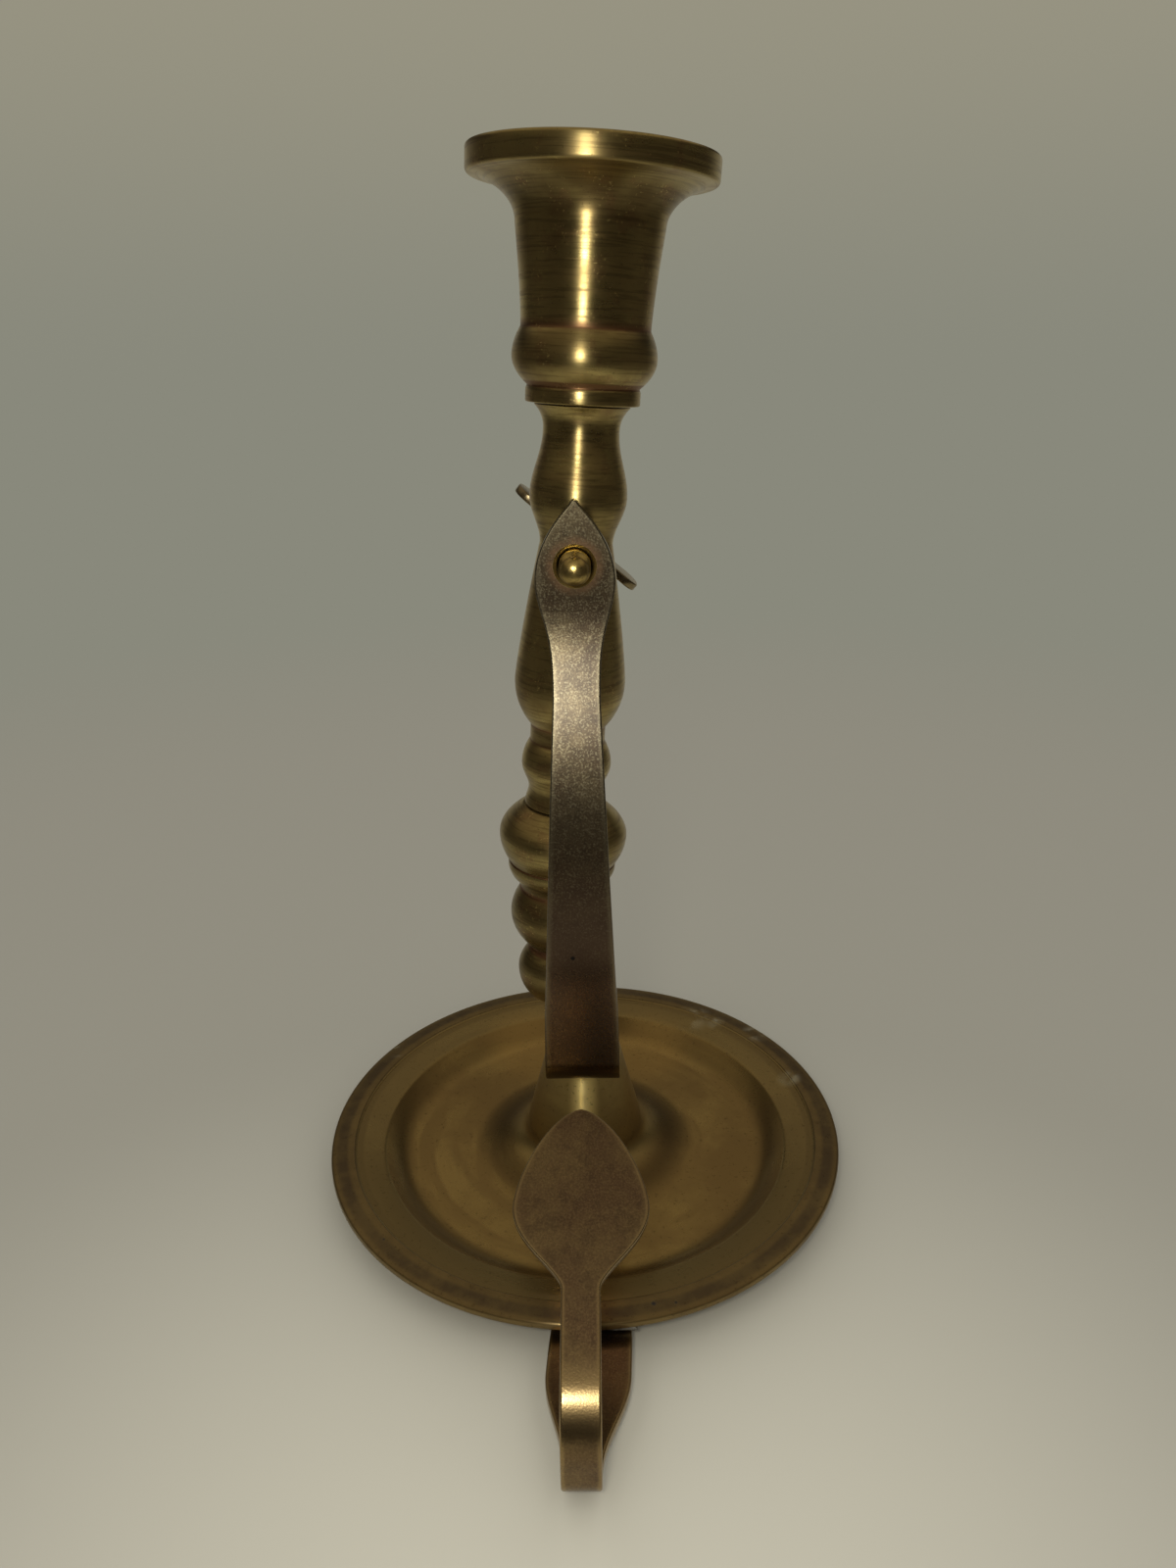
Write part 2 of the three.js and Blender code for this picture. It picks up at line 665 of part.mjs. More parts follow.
// Thumbscrew: domed end, shank, flange and slotted hub, drawn along Z from the front.
function thumbscrewShank() {
  const straightEnd = -armLeafOuter - thumbShankEnd;
  const turned = new Turning(0, straightEnd - thumbDome)
    .cut(thumbShankRadius, straightEnd, (t) => Math.sqrt(1 - (1 - t) ** 2), 5)
    .to(thumbShankRadius, hubFront)
    .to(hubFlangeRadius, hubFront)
    .to(hubFlangeRadius, hubFront + hubFlangeThickness)
    .to(hubRadius, hubFront + hubFlangeThickness + 0.6)
    .to(hubRadius, hubBack)
    .to(0, hubBack)
    .solid(smallFacets);
  const slotHalf = wingThickness / 2 + seatGap;
  const slotBottom = hubBack - wingTongue - seatGap;
  const wide = hubRadius + cutPast;
  const slotHigh = [wide, slotHalf, hubBack + cutPast];
  return turned.subtract(block([-wide, -slotHalf, slotBottom], slotHigh));
}

// Wing of the thumbscrew: a flat plate whose tongue sits in the slot of the hub.
function thumbscrewWing() {
  const half = wingSpan / 2;
  const front = hubBack + seatGap;
  const back = front + wingDepth;
  const r = wingTipRadius;
  const tongue = wingTongueWidth / 2;
  const outline = new THREE.Shape();
  outline.moveTo(-tongue, hubBack - wingTongue);
  outline.lineTo(tongue, hubBack - wingTongue);
  outline.lineTo(tongue, front);
  outline.absarc(half - r, front + r, r, -Math.PI / 2, 0, false);
  outline.absarc(half - r, back - r, r, 0, Math.PI / 2, false);
  outline.quadraticCurveTo(0, back - wingHollow, -half + r, back);
  outline.absarc(-half + r, back - r, r, Math.PI / 2, Math.PI, false);
  outline.absarc(-half + r, front + r, r, Math.PI, Math.PI * 1.5, false);
  outline.lineTo(-tongue, front);
  const geometry = new THREE.ExtrudeGeometry(outline, {
    depth: wingThickness,
    bevelEnabled: false,
    curveSegments: curveSteps,
  });
  geometry.translate(0, 0, -wingThickness / 2);
  return solidOf(geometry);
}

// Colours and finishes
const polishedBrass = { color: 0x9a8242, roughness: 0.25, metalness: 1 };
const satinBrass = { color: 0x7d6a49, roughness: 0.5, metalness: 1 };
const panBrass = { color: 0x84703c, roughness: 0.35, metalness: 1 };
const solderGrey = { color: 0x6f6b62, roughness: 0.6, metalness: 1 };

// A named mesh from a solid.
function piece(name, solid, finish) {
  const mesh = new THREE.Mesh(geometryOf(solid), new THREE.MeshStandardMaterial(finish));
  mesh.name = name;
  return mesh;
}

const base = new THREE.Group();
base.add(piece("drip_pan", dripPan(), panBrass));
base.add(piece("carrying_handle", carryingHandle(), satinBrass));
base.add(piece("handle_solder", handleSolder(), solderGrey));
base.add(piece("swivel_screw", swivelScrew(), polishedBrass));
base.add(piece("spring_washer", springWasher(), satinBrass));
base.add(
  piece(
    "friction_washer",
    washer(frictionWasherRadius, swivelHoleRadius, frictionWasherBase, frictionWasherThickness),
    satinBrass,
  ),
);
base.add(
  piece(
    "nut_washer",
    washer(nutWasherRadius, swivelHoleRadius, nutWasherBase, nutWasherThickness),
    satinBrass,
  ),
);
base.add(piece("swivel_nut", swivelNut(), satinBrass));

const arm = new THREE.Group();
arm.add(piece("gimbal_arm", gimbalArm(), satinBrass));
const spacer = washer(pivotWasherRadius, pivotHoleRadius, -spacerOuter, spacerOuter - washerInner);
const frontSpacer = piece("front_spacer", alongY(spacer), satinBrass);
frontSpacer.position.z = pivotHeight;
arm.add(frontSpacer);

const thumbscrew = new THREE.Group();
thumbscrew.position.z = pivotHeight;
thumbscrew.rotation.y = THREE.MathUtils.degToRad(wingTurn);
const backWasher = washer(pivotWasherRadius, pivotHoleRadius, washerInner, backWasherThickness);
thumbscrew.add(piece("back_washer", alongY(backWasher), satinBrass));
thumbscrew.add(piece("thumbscrew_shank", alongY(thumbscrewShank()), polishedBrass));
thumbscrew.add(piece("thumbscrew_wing", thumbscrewWing(), satinBrass));

const candlestick = new THREE.Group();
candlestick.position.z = pivotHeight;
candlestick.rotation.y = THREE.MathUtils.degToRad(candlestickLean);
candlestick.add(piece("stem", stem(), polishedBrass));
const cup = new THREE.Group();
cup.position.z = stemTopRise + seatGap;
cup.add(piece("candle_cup", candleCup(), polishedBrass));
cup.add(piece("cup_screw", cupScrew(), satinBrass));
candlestick.add(cup);
const lowerEnd = new THREE.Group();
lowerEnd.position.z = -stemFootDrop - seatGap;
lowerEnd.add(piece("bob", bob(), polishedBrass));
lowerEnd.add(
  piece("bob_stud", rod(studRadius, -studGrip, seatGap + studGrip), satinBrass),
);
candlestick.add(lowerEnd);

// The holder stands with the middle of its footprint, pan and handle together, over the origin.
const holder = new THREE.Group();
holder.position.y = (handleReach - panRadius) / 2;
holder.add(base, arm, thumbscrew, candlestick);

export default holder;
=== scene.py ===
"""Looks of a brass gimbal candle holder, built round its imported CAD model.

Every CAD node is replaced by a finely modelled piece of the same size. Sizes are in millimetres
in the classes below and become metres when a mesh is finished.
"""

import logging
import math
from dataclasses import dataclass, field
from enum import Enum
from functools import reduce
from typing import Callable, NamedTuple, Sequence

import bmesh
import bpy
from mathutils import Matrix, Vector


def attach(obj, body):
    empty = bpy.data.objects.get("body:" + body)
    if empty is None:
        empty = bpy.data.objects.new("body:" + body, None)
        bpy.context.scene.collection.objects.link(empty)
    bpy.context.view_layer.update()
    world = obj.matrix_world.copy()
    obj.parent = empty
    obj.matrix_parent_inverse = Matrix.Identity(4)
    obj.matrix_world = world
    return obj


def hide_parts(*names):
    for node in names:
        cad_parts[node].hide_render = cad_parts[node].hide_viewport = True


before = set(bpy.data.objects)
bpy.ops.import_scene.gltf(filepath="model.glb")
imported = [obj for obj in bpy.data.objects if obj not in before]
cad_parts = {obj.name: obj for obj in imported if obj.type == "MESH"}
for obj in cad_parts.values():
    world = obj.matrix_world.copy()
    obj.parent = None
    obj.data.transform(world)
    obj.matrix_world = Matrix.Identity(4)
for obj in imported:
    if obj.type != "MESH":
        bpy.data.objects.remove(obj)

log = logging.getLogger("candle_holder")

MM = 0.001
PAN_AXIS = Vector((0.0, 16.1, 0.0))
PIVOT_HEIGHT = 150.5
PIVOT = PAN_AXIS + Vector((0.0, 0.0, PIVOT_HEIGHT))
LEAN = math.radians(3.54)
AXIS_LEANING = (0.0, LEAN, 0.0)
AXIS_ALONG_Y = (math.radians(-90), 0.0, 0.0)
SEAT_GAP = 0.3
WEAR = "wear"

Socket = bpy.types.NodeSocket
Point = tuple[float, float]
Shade = tuple[float, float, float]
Angles = tuple[float, float, float]


class Body(Enum):
    """The CAD bodies that pieces ride on."""

    BASE = "base"
    ARM = "arm"
    WASHER = "washer"
    THUMBSCREW = "thumbscrew"
    CANDLESTICK = "candlestick"


class Slot(Enum):
    """The record's material slots."""

    POLISHED = "polished_brass"
    SATIN = "satin_brass"
    PAN = "pan_brass"
    SOLDER = "solder"


# Patterns


class Layer(NamedTuple):
    """Part of a pattern: the values where it begins and where it is full, and how much of it counts."""

    start: float
    full: float
    share: float = 1.0


class Noise(NamedTuple):
    """Cloudy noise: repeats per metre, octaves, and the share of each finer octave."""

    scale: float
    detail: float = 2.0
    rough: float = 0.5


class Relief(NamedTuple):
    """How deep a bump is, in millimetres, and how much of it shows."""

    depth: float
    strength: float


class Band(NamedTuple):
    """A soft dark band: its middle and reach, in millimetres, and how much of it counts."""

    middle: float
    reach: float
    share: float


class Patch(NamedTuple):
    """A soft round patch seen from above: its middle and radius, in millimetres."""

    x: float
    y: float
    size: float


# Shader graphs

NEAR_ZERO = 1e-4
MIX_INPUTS = (6, 7)
MIX_OUTPUT = 2
PATCH_CORE = 0.35
QUARTER_TURN = 0.25


def rgb(red: float, green: float, blue: float) -> tuple[float, float, float, float]:
    """A linear colour from screen values of 0 to 255.

    Args:
        red: red.
        green: green.
        blue: blue.

    Returns:
        The linear colour with full alpha.
    """
    shares = [value / 255 for value in (red, green, blue)]
    linear = [s / 12.92 if s <= 0.04045 else ((s + 0.055) / 1.055) ** 2.4 for s in shares]
    return (*linear, 1.0)


class Wiring:
    """Short calls for the nodes that the finishes and the surroundings use in a node tree."""

    def __init__(self, tree: bpy.types.NodeTree) -> None:
        """Starts from an emptied tree."""
        self.tree = tree
        self.tree.nodes.clear()

    def feed(self, socket: Socket, value: object) -> None:
        """Links a socket to another one, or sets its value.

        Args:
            socket: input to feed.
            value: an output socket, a number or a tuple.
        """
        if isinstance(value, Socket):
            self.tree.links.new(value, socket)
        else:
            socket.default_value = value

    def add(self, kind: str, *values: object, **settings: object) -> bpy.types.Node:
        """A new node, set up and fed.

        Args:
            kind: its type.
            values: what feeds its first inputs, in their order.
            settings: its settings by name.

        Returns:
            The node.
        """
        node = self.tree.nodes.new(kind)
        for name, value in settings.items():
            setattr(node, name, value)
        for socket, value in zip(node.inputs, values):
            self.feed(socket, value)
        return node

    def math(self, operation: str, *values: object, clamp: bool = False) -> Socket:
        """A number worked out from others by a Math node, and kept between 0 and 1 if clamp is True."""
        return self.add("ShaderNodeMath", *values, operation=operation, use_clamp=clamp).outputs[0]

    def times(self, *values: object) -> Socket:
        """The product of two or more numbers."""
        return reduce(lambda product, value: self.math("MULTIPLY", product, value), values)

    def most(self, *values: object) -> Socket:
        """The largest of two or more numbers, kept between 0 and 1."""
        return reduce(lambda largest, value: self.math("MAXIMUM", largest, value, clamp=True), values)

    def vector(self, operation: str, *values: object) -> Socket:
        """A vector worked out from others by a Vector Math node, or the number that some operations give."""
        outputs = self.add("ShaderNodeVectorMath", *values, operation=operation).outputs
        return outputs["Value" if operation in ("LENGTH", "DISTANCE") else "Vector"]

    def split(self, vector: Socket) -> tuple[Socket, ...]:
        """The X, Y and Z of a vector."""
        return tuple(self.add("ShaderNodeSeparateXYZ", vector).outputs)

    def join(self, x: object, y: object, z: object) -> Socket:
        """A vector from three numbers."""
        return self.add("ShaderNodeCombineXYZ", x, y, z).outputs[0]

    def noise(self, vector: Socket, noise: Noise) -> Socket:
        """Cloudy noise, round 0.5."""
        values = (vector, 0.0, noise.scale, noise.detail, noise.rough)
        return self.add("ShaderNodeTexNoise", *values).outputs["Fac"]

    def span(self, value: Socket, low: float, high: float) -> Socket:
        """Maps a value smoothly to 0 at low and 1 at high.

        Args:
            value: the value.
            low: where the result is 0.
            high: where the result is 1, which may be the lower one.

        Returns:
            The mapped value.
        """
        ends = (1.0, 0.0) if high < low else (0.0, 1.0)
        values = (value, min(low, high), max(low, high), *ends)
        return self.add("ShaderNodeMapRange", *values, interpolation_type="SMOOTHSTEP").outputs["Result"]

    def layer(self, value: Socket, layer: Layer) -> Socket:
        """How far a value lies in a layer, up to the layer's share."""
        return self.times(self.span(value, layer.start, layer.full), layer.share)

    def zone(self, value: Socket, layer: Layer) -> Socket:
        """How far a length in metres lies in a layer that is given in millimetres."""
        return self.layer(value, Layer(layer.start * MM, layer.full * MM, layer.share))

    def mix(self, share: object, first: object, second: object) -> Socket:
        """A colour between two others.

        Args:
            share: 0 for the first and 1 for the second.
            first: colour or socket.
            second: colour or socket.

        Returns:
            The mixed colour.
        """
        node = self.add("ShaderNodeMix", share, data_type="RGBA")
        for number, value in zip(MIX_INPUTS, (first, second)):
            self.feed(node.inputs[number], value)
        return node.outputs[MIX_OUTPUT]

    def paint(self, colour: object, share: object, shade: Shade, level: float = 1.0) -> Socket:
        """The colour with a shade over it as far as the share says, the shade first dimmed to a level."""
        return self.mix(share, colour, rgb(*(min(part * level, 255) for part in shade)))

    def between(self, share: object, first: float, second: float) -> Socket:
        """A number between two others: the first where the share is 0, and the second where it is 1."""
        return self.math("MULTIPLY_ADD", share, second - first, first)

    def reflective_ray(self) -> Socket:
        """1 for rays that metal and glass send out, and 0 for others."""
        path = self.add("ShaderNodeLightPath")
        return self.most(path.outputs["Is Glossy Ray"], path.outputs["Is Transmission Ray"])

    def camera_ray(self) -> Socket:
        """1 for what is seen directly, and 0 for other rays."""
        return self.add("ShaderNodeLightPath").outputs["Is Camera Ray"]


class Graph(Wiring):
    """A material's node tree round one surface shader."""

    def __init__(self, name: str) -> None:
        """Starts an empty material.

        Args:
            name: name of the material.
        """
        self.material = bpy.data.materials.new(name)
        self.material.use_nodes = True
        super().__init__(self.material.node_tree)
        self.shader = self.add("ShaderNodeBsdfPrincipled")
        self.output = self.add("ShaderNodeOutputMaterial", self.shader.outputs[0])

    def set(self, name: str, value: object) -> None:
        """Feeds one input of the surface shader."""
        self.feed(self.shader.inputs[name], value)

    def object_point(self) -> Socket:
        """The point in object coordinates."""
        return self.add("ShaderNodeTexCoord").outputs["Object"]

    def wear(self) -> Socket:
        """How worn the surface is: 0 in a groove, 0.5 when flat, 1 on an edge."""
        return self.add("ShaderNodeAttribute", attribute_name=WEAR).outputs["Fac"]

    def turn(self, vector: Socket, tilt: Angles, back: bool) -> Socket:
        """A vector turned by three angles about X, Y and Z.

        Args:
            vector: the vector.
            tilt: the angles.
            back: True to turn it back instead.

        Returns:
            The turned vector.
        """
        node = self.add("ShaderNodeVectorRotate", vector, rotation_type="EULER_XYZ", invert=back)
        node.inputs["Rotation"].default_value = tilt
        return node.outputs[0]

    def on_axis(self, centre: Vector, tilt: Angles) -> Socket:
        """The point seen from a turning axis through a centre, where the axis is +Z through the origin."""
        away = self.vector("SUBTRACT", self.object_point(), tuple(centre * MM))
        return self.turn(away, tilt, back=True)

    def from_axis(self, point: Socket) -> Socket:
        """How far a point is from +Z."""
        x, y, _ = self.split(point)
        return self.vector("LENGTH", self.join(x, y, 0.0))

    def brush_round(self, point: Socket, tilt: Angles, amount: float) -> None:
        """Stretches the shader's reflections across the rings that a lathe leaves.

        Args:
            point: the point in the axis's own frame.
            tilt: the angles that lay +Z along the axis.
            amount: how far they are stretched, up to 1.
        """
        x, y, _ = self.split(point)
        around = self.turn(self.join(self.times(y, -1.0), x, 0.0), tilt, back=False)
        spaces = {"convert_from": "OBJECT", "convert_to": "WORLD"}
        node = self.add("ShaderNodeVectorTransform", around, vector_type="VECTOR", **spaces)
        self.set("Tangent", node.outputs[0])
        self.set("Anisotropic", amount)
        self.set("Anisotropic Rotation", QUARTER_TURN)

    def patches(self, point: Socket, places: Sequence[Patch]) -> Socket:
        """Soft round patches seen from above.

        Args:
            point: the point.
            places: the patches.

        Returns:
            1 in their middles and 0 beyond their radii.
        """
        x, y, _ = self.split(point)
        flat = self.join(x, y, 0.0)
        found: list[object] = [0.0]
        for place in places:
            away = self.vector("DISTANCE", flat, (place.x * MM, place.y * MM, 0.0))
            found.append(self.zone(away, Layer(place.size, place.size * PATCH_CORE)))
        return self.most(*found)

    def bump(self, height: Socket, relief: Relief, below: Socket | None = None) -> Socket:
        """A normal tilted by a height.

        Args:
            height: the height, round 0 to 1.
            relief: how deep it is and how much of it shows.
            below: normal from a coarser bump.

        Returns:
            The normal.
        """
        node = self.add("ShaderNodeBump")
        node.inputs["Strength"].default_value = relief.strength
        node.inputs["Distance"].default_value = relief.depth * MM
        self.feed(node.inputs["Height"], height)
        if below is not None:
            self.feed(node.inputs["Normal"], below)
        return node.outputs[0]

    def metal(
        self, colour: Socket, rough: object, normal: Socket, metallic: object = 1.0
    ) -> bpy.types.Material:
        """Dresses the surface shader as metal.

        Args:
            colour: its colour.
            rough: its roughness.
            normal: its normal.
            metallic: how far it is bare metal.

        Returns:
            The material.
        """
        self.set("Base Color", colour)
        self.set("Metallic", metallic)
        self.set("Roughness", rough)
        self.set("Normal", normal)
        return self.material


# Finishes


@dataclass(frozen=True)
class TurnedFinish:
    """Brass turned on a lathe: fine rings, patches of tarnish, and darker grooves."""

    name: str
    centre: Vector
    tilt: Angles = (0.0, 0.0, 0.0)
    bright: Shade = (188, 168, 108)
    dull: Shade = (148, 122, 80)
    red: Shade = (146, 100, 74)
    roughness: Point = (0.27, 0.46)
    stretch: float = 0.75
    ring_scale: float = 1300.0
    broad_ring_scale: float = 260.0
    scratch_scale: float = 1900.0
    ring_detail: float = 3.0
    ring_change: float = 1.4
    smear: Noise = Noise(55.0, 4.0, 0.6)
    blotch: Noise = Noise(187.0, 3.0, 0.55)
    fleck: Noise = Noise(1650.0, 3.0, 0.7)
    groove: Layer = Layer(0.5, 0.2)
    cloud: Layer = Layer(0.42, 0.66, 0.7)
    broad_ring: Layer = Layer(0.42, 0.66, 0.5)
    fine_ring: Layer = Layer(0.5, 0.68, 0.6)
    red_blotch: Layer = Layer(0.54, 0.66, 0.5)
    red_share: float = 0.5
    scratch: Layer = Layer(0.5, 0.6, 0.34)
    scratch_level: float = 0.6
    dirt: Layer = Layer(0.62, 0.7, 0.4)
    dirt_level: float = 0.5
    spark: Layer = Layer(0.4, 0.33)
    spark_blotch: Layer = Layer(0.5, 0.6)
    spark_level: float = 1.15
    spark_rough: float = 0.1
    broad_relief: Relief = Relief(0.06, 0.6)
    fine_relief: Relief = Relief(0.03, 1.0)
    # Soft dark bands painted into the colour; on the pan and under the cup's rim they are painted shade.
    bands: tuple[Band, ...] = ()
    band_level: float = 0.5

    def start(self) -> tuple[Graph, Socket]:
        """A new graph, and the point in the axis's own frame.

        Returns:
            The graph and the point.
        """
        graph = Graph(self.name)
        point = graph.on_axis(self.centre, self.tilt)
        graph.brush_round(point, self.tilt, self.stretch)
        return graph, point

    def rings(self, graph: Graph, point: Socket, scale: float) -> Socket:
        """Noise that goes round the axis in rings, with slow changes along each ring.

        Args:
            graph: the material's graph.
            point: point in the axis's own frame.
            scale: rings per metre.

        Returns:
            The ring pattern.
        """
        x, y, z = graph.split(point)
        radius = graph.from_axis(point)
        away = graph.math("MAXIMUM", radius, NEAR_ZERO)
        around, across = (graph.times(graph.math("DIVIDE", part, away), self.ring_change) for part in (x, y))
        vector = graph.join(graph.times(radius, scale), graph.times(z, scale), around)
        values = (vector, across, 1.0, self.ring_detail)
        return graph.add("ShaderNodeTexNoise", *values, noise_dimensions="4D").outputs["Fac"]

    def banded(self, graph: Graph, colour: Socket, along: Socket) -> Socket:
        """The colour with its soft dark bands, which on the pan and under the cup's rim are painted shade.

        Args:
            graph: the material's graph.
            colour: the colour.
            along: the length that the bands' middles are measured along.

        Returns:
            The colour.
        """
        for band in self.bands:
            away = graph.math("ABSOLUTE", graph.math("SUBTRACT", along, band.middle * MM))
            dim = graph.zone(away, Layer(band.reach, 0.0, band.share))
            colour = graph.paint(colour, dim, self.dull, self.band_level)
        return colour

    def build(self) -> bpy.types.Material:
        """Wires the material.

        Returns:
            The material.
        """
        graph, point = self.start()
        fine = self.rings(graph, point, self.ring_scale)
        broad = self.rings(graph, point, self.broad_ring_scale)
        blotch = graph.noise(point, self.blotch)
        flecks = graph.noise(point, self.fleck)
        groove = graph.layer(graph.wear(), self.groove)
        cloud = graph.layer(graph.noise(point, self.smear), self.cloud)
        line = graph.layer(fine, self.fine_ring)
        tarnish = graph.most(groove, cloud, graph.layer(broad, self.broad_ring), line)
        colour = graph.paint(rgb(*self.bright), tarnish, self.dull)
        colour = self.banded(graph, colour, graph.split(point)[2])
        reddened = graph.most(groove, graph.layer(blotch, self.red_blotch))
        colour = graph.paint(colour, graph.times(reddened, self.red_share), self.red)
        scratch = graph.layer(self.rings(graph, point, self.scratch_scale), self.scratch)
        colour = graph.paint(colour, scratch, self.dull, self.scratch_level)
        colour = graph.paint(colour, graph.layer(flecks, self.dirt), self.dull, self.dirt_level)
        spark = graph.times(graph.layer(flecks, self.spark), graph.layer(blotch, self.spark_blotch))
        colour = graph.paint(colour, spark, self.bright, self.spark_level)
        rough = graph.between(graph.most(tarnish, line), *self.roughness)
        rough = graph.math("MULTIPLY_ADD", spark, self.spark_rough, rough)
        soft = graph.bump(broad, self.broad_relief)
        return graph.metal(colour, rough, graph.bump(fine, self.fine_relief, soft))


@dataclass(frozen=True)
class PanFinish(TurnedFinish):
    """The drip pan's brass: rings of old polish, a browner rim, water stains and a few pits, with painted
    shade in two dark rings, a painted highlight on the boss's front and two painted reflections behind the
    boss.
    """

    bright: Shade = (174, 148, 92)
    dull: Shade = (138, 112, 72)
    cove: Shade = (144, 126, 84)
    rim: Shade = (106, 91, 68)
    boss: Shade = (204, 188, 130)
    # Colour of the two painted reflections of golden light behind the boss.
    glow: Shade = (214, 176, 104)
    # Colour of the painted highlight on the front of the boss.
    painted_highlight: Shade = (252, 228, 152)
    stain: Shade = (156, 152, 128)
    pit: Shade = (40, 32, 24)
    roughness: Point = (0.25, 0.36)
    stretch: float = 0.88
    ring_scale: float = 1600.0
    broad_ring_scale: float = 1600.0 / 7
    smear: Noise = Noise(38.0, 5.0, 0.62)
    blotch: Noise = Noise(114.0, 4.0, 0.65)
    fleck: Noise = Noise(1140.0, 3.0, 0.7)
    cloud: Layer = Layer(0.38, 0.64, 0.6)
    broad_ring: Layer = Layer(0.4, 0.62, 0.5)
    on_cove: Layer = Layer(49.6, 50.0, 0.8)
    on_rim: Layer = Layer(57.0, 57.6)
    rim_blotch: Layer = Layer(0.35, 0.62)
    rim_shares: Point = (0.6, 1.0)
    rim_rough: float = 0.8
    # Painted shade: dark rings round the boss's foot and on the well's wall, standing for dark reflections.
    bands: tuple[Band, ...] = (Band(21.5, 7.0, 0.7), Band(46.4, 4.2, 0.5))
    band_level: float = 0.6
    on_boss: Layer = Layer(20.0, 15.0)
    boss_share: float = 0.25
    boss_rough: float = 0.03
    # Painted reflections: two soft golden patches behind the boss, and how much of them counts.
    painted_reflection_patches: tuple[Patch, ...] = (Patch(-15.0, 38.0, 17.0), Patch(16.0, 36.0, 16.0))
    painted_reflection_share: float = 0.3
    # A painted highlight: one bright spot on the front of the boss.
    painted_highlight_spots: tuple[Patch, ...] = (Patch(0.0, -10.6, 4.2),)
    edge: Layer = Layer(0.56, 0.75, 0.3)
    grit: Layer = Layer(0.58, 0.7, 0.35)
    stains: tuple[Patch, ...] = (
        Patch(31.5, 45.8, 6.5),
        Patch(37.5, 43.0, 3.5),
        Patch(48.3, 36.9, 5.0),
        Patch(54.5, 16.5, 4.0),
        Patch(-53.0, 30.0, 4.0),
    )
    stain_blotch: Layer = Layer(0.44, 0.58)
    stain_shares: Point = (0.25, 0.5)
    pits: tuple[Patch, ...] = (Patch(14.4, -57.9, 0.7), Patch(19.0, -57.6, 0.45), Patch(-44.0, -40.0, 0.4))
    metallic: Point = (1.0, 0.35)
    broad_relief: Relief = Relief(0.018, 0.4)
    fine_relief: Relief = Relief(0.006, 0.8)
    grit_relief: Relief = Relief(0.02, 0.5)

    def build(self) -> bpy.types.Material:
        """Wires the material.

        Returns:
            The material.
        """
        graph, point = self.start()
        radius = graph.from_axis(point)
        fine = self.rings(graph, point, self.ring_scale)
        broad = self.rings(graph, point, self.broad_ring_scale)
        blotch = graph.noise(point, self.blotch)
        grit = graph.noise(point, self.fleck)
        wear = graph.wear()
        cloud = graph.layer(graph.noise(point, self.smear), self.cloud)
        tarnish = graph.most(cloud, graph.layer(wear, self.groove), graph.layer(broad, self.broad_ring))
        colour = graph.paint(rgb(*self.bright), tarnish, self.dull)
        colour = graph.paint(colour, graph.zone(radius, self.on_cove), self.cove)
        on_rim = graph.zone(radius, self.on_rim)
        patchy = graph.between(graph.layer(blotch, self.rim_blotch), *self.rim_shares)
        browned = graph.times(on_rim, patchy)
        colour = graph.paint(colour, browned, self.rim)
        # Painted shade: the dark rings round the boss's foot and on the well's wall.
        colour = self.banded(graph, colour, radius)
        on_boss = graph.zone(radius, self.on_boss)
        colour = graph.paint(colour, graph.times(on_boss, self.boss_share), self.boss)
        # Painted reflections of golden light behind the boss.
        painted_reflection = graph.times(graph.patches(point, self.painted_reflection_patches), self.painted_reflection_share)
        colour = graph.paint(colour, painted_reflection, self.glow)
        # A painted highlight on the front of the boss.
        colour = graph.paint(colour, graph.patches(point, self.painted_highlight_spots), self.painted_highlight)
        colour = graph.paint(colour, graph.layer(wear, self.edge), self.bright)
        colour = graph.paint(colour, graph.layer(grit, self.grit), self.pit)
        broken = graph.times(graph.patches(point, self.stains), graph.layer(blotch, self.stain_blotch))
        stained = graph.times(broken, graph.between(on_rim, *self.stain_shares))
        colour = graph.paint(colour, stained, self.stain)
        pitted = graph.patches(point, self.pits)
        colour = graph.paint(colour, pitted, self.pit)
        dull = graph.most(tarnish, graph.times(browned, self.rim_rough), stained)
        rough = graph.between(dull, *self.roughness)
        rough = graph.math("MULTIPLY_ADD", on_boss, self.boss_rough, rough)
        soft = graph.bump(broad, self.broad_relief)
        rings = graph.bump(fine, self.fine_relief, soft)
        normal = graph.bump(graph.math("SUBTRACT", grit, pitted), self.grit_relief, rings)
        metallic = graph.between(graph.most(stained, pitted), *self.metallic)
        return graph.metal(colour, rough, normal, metallic)


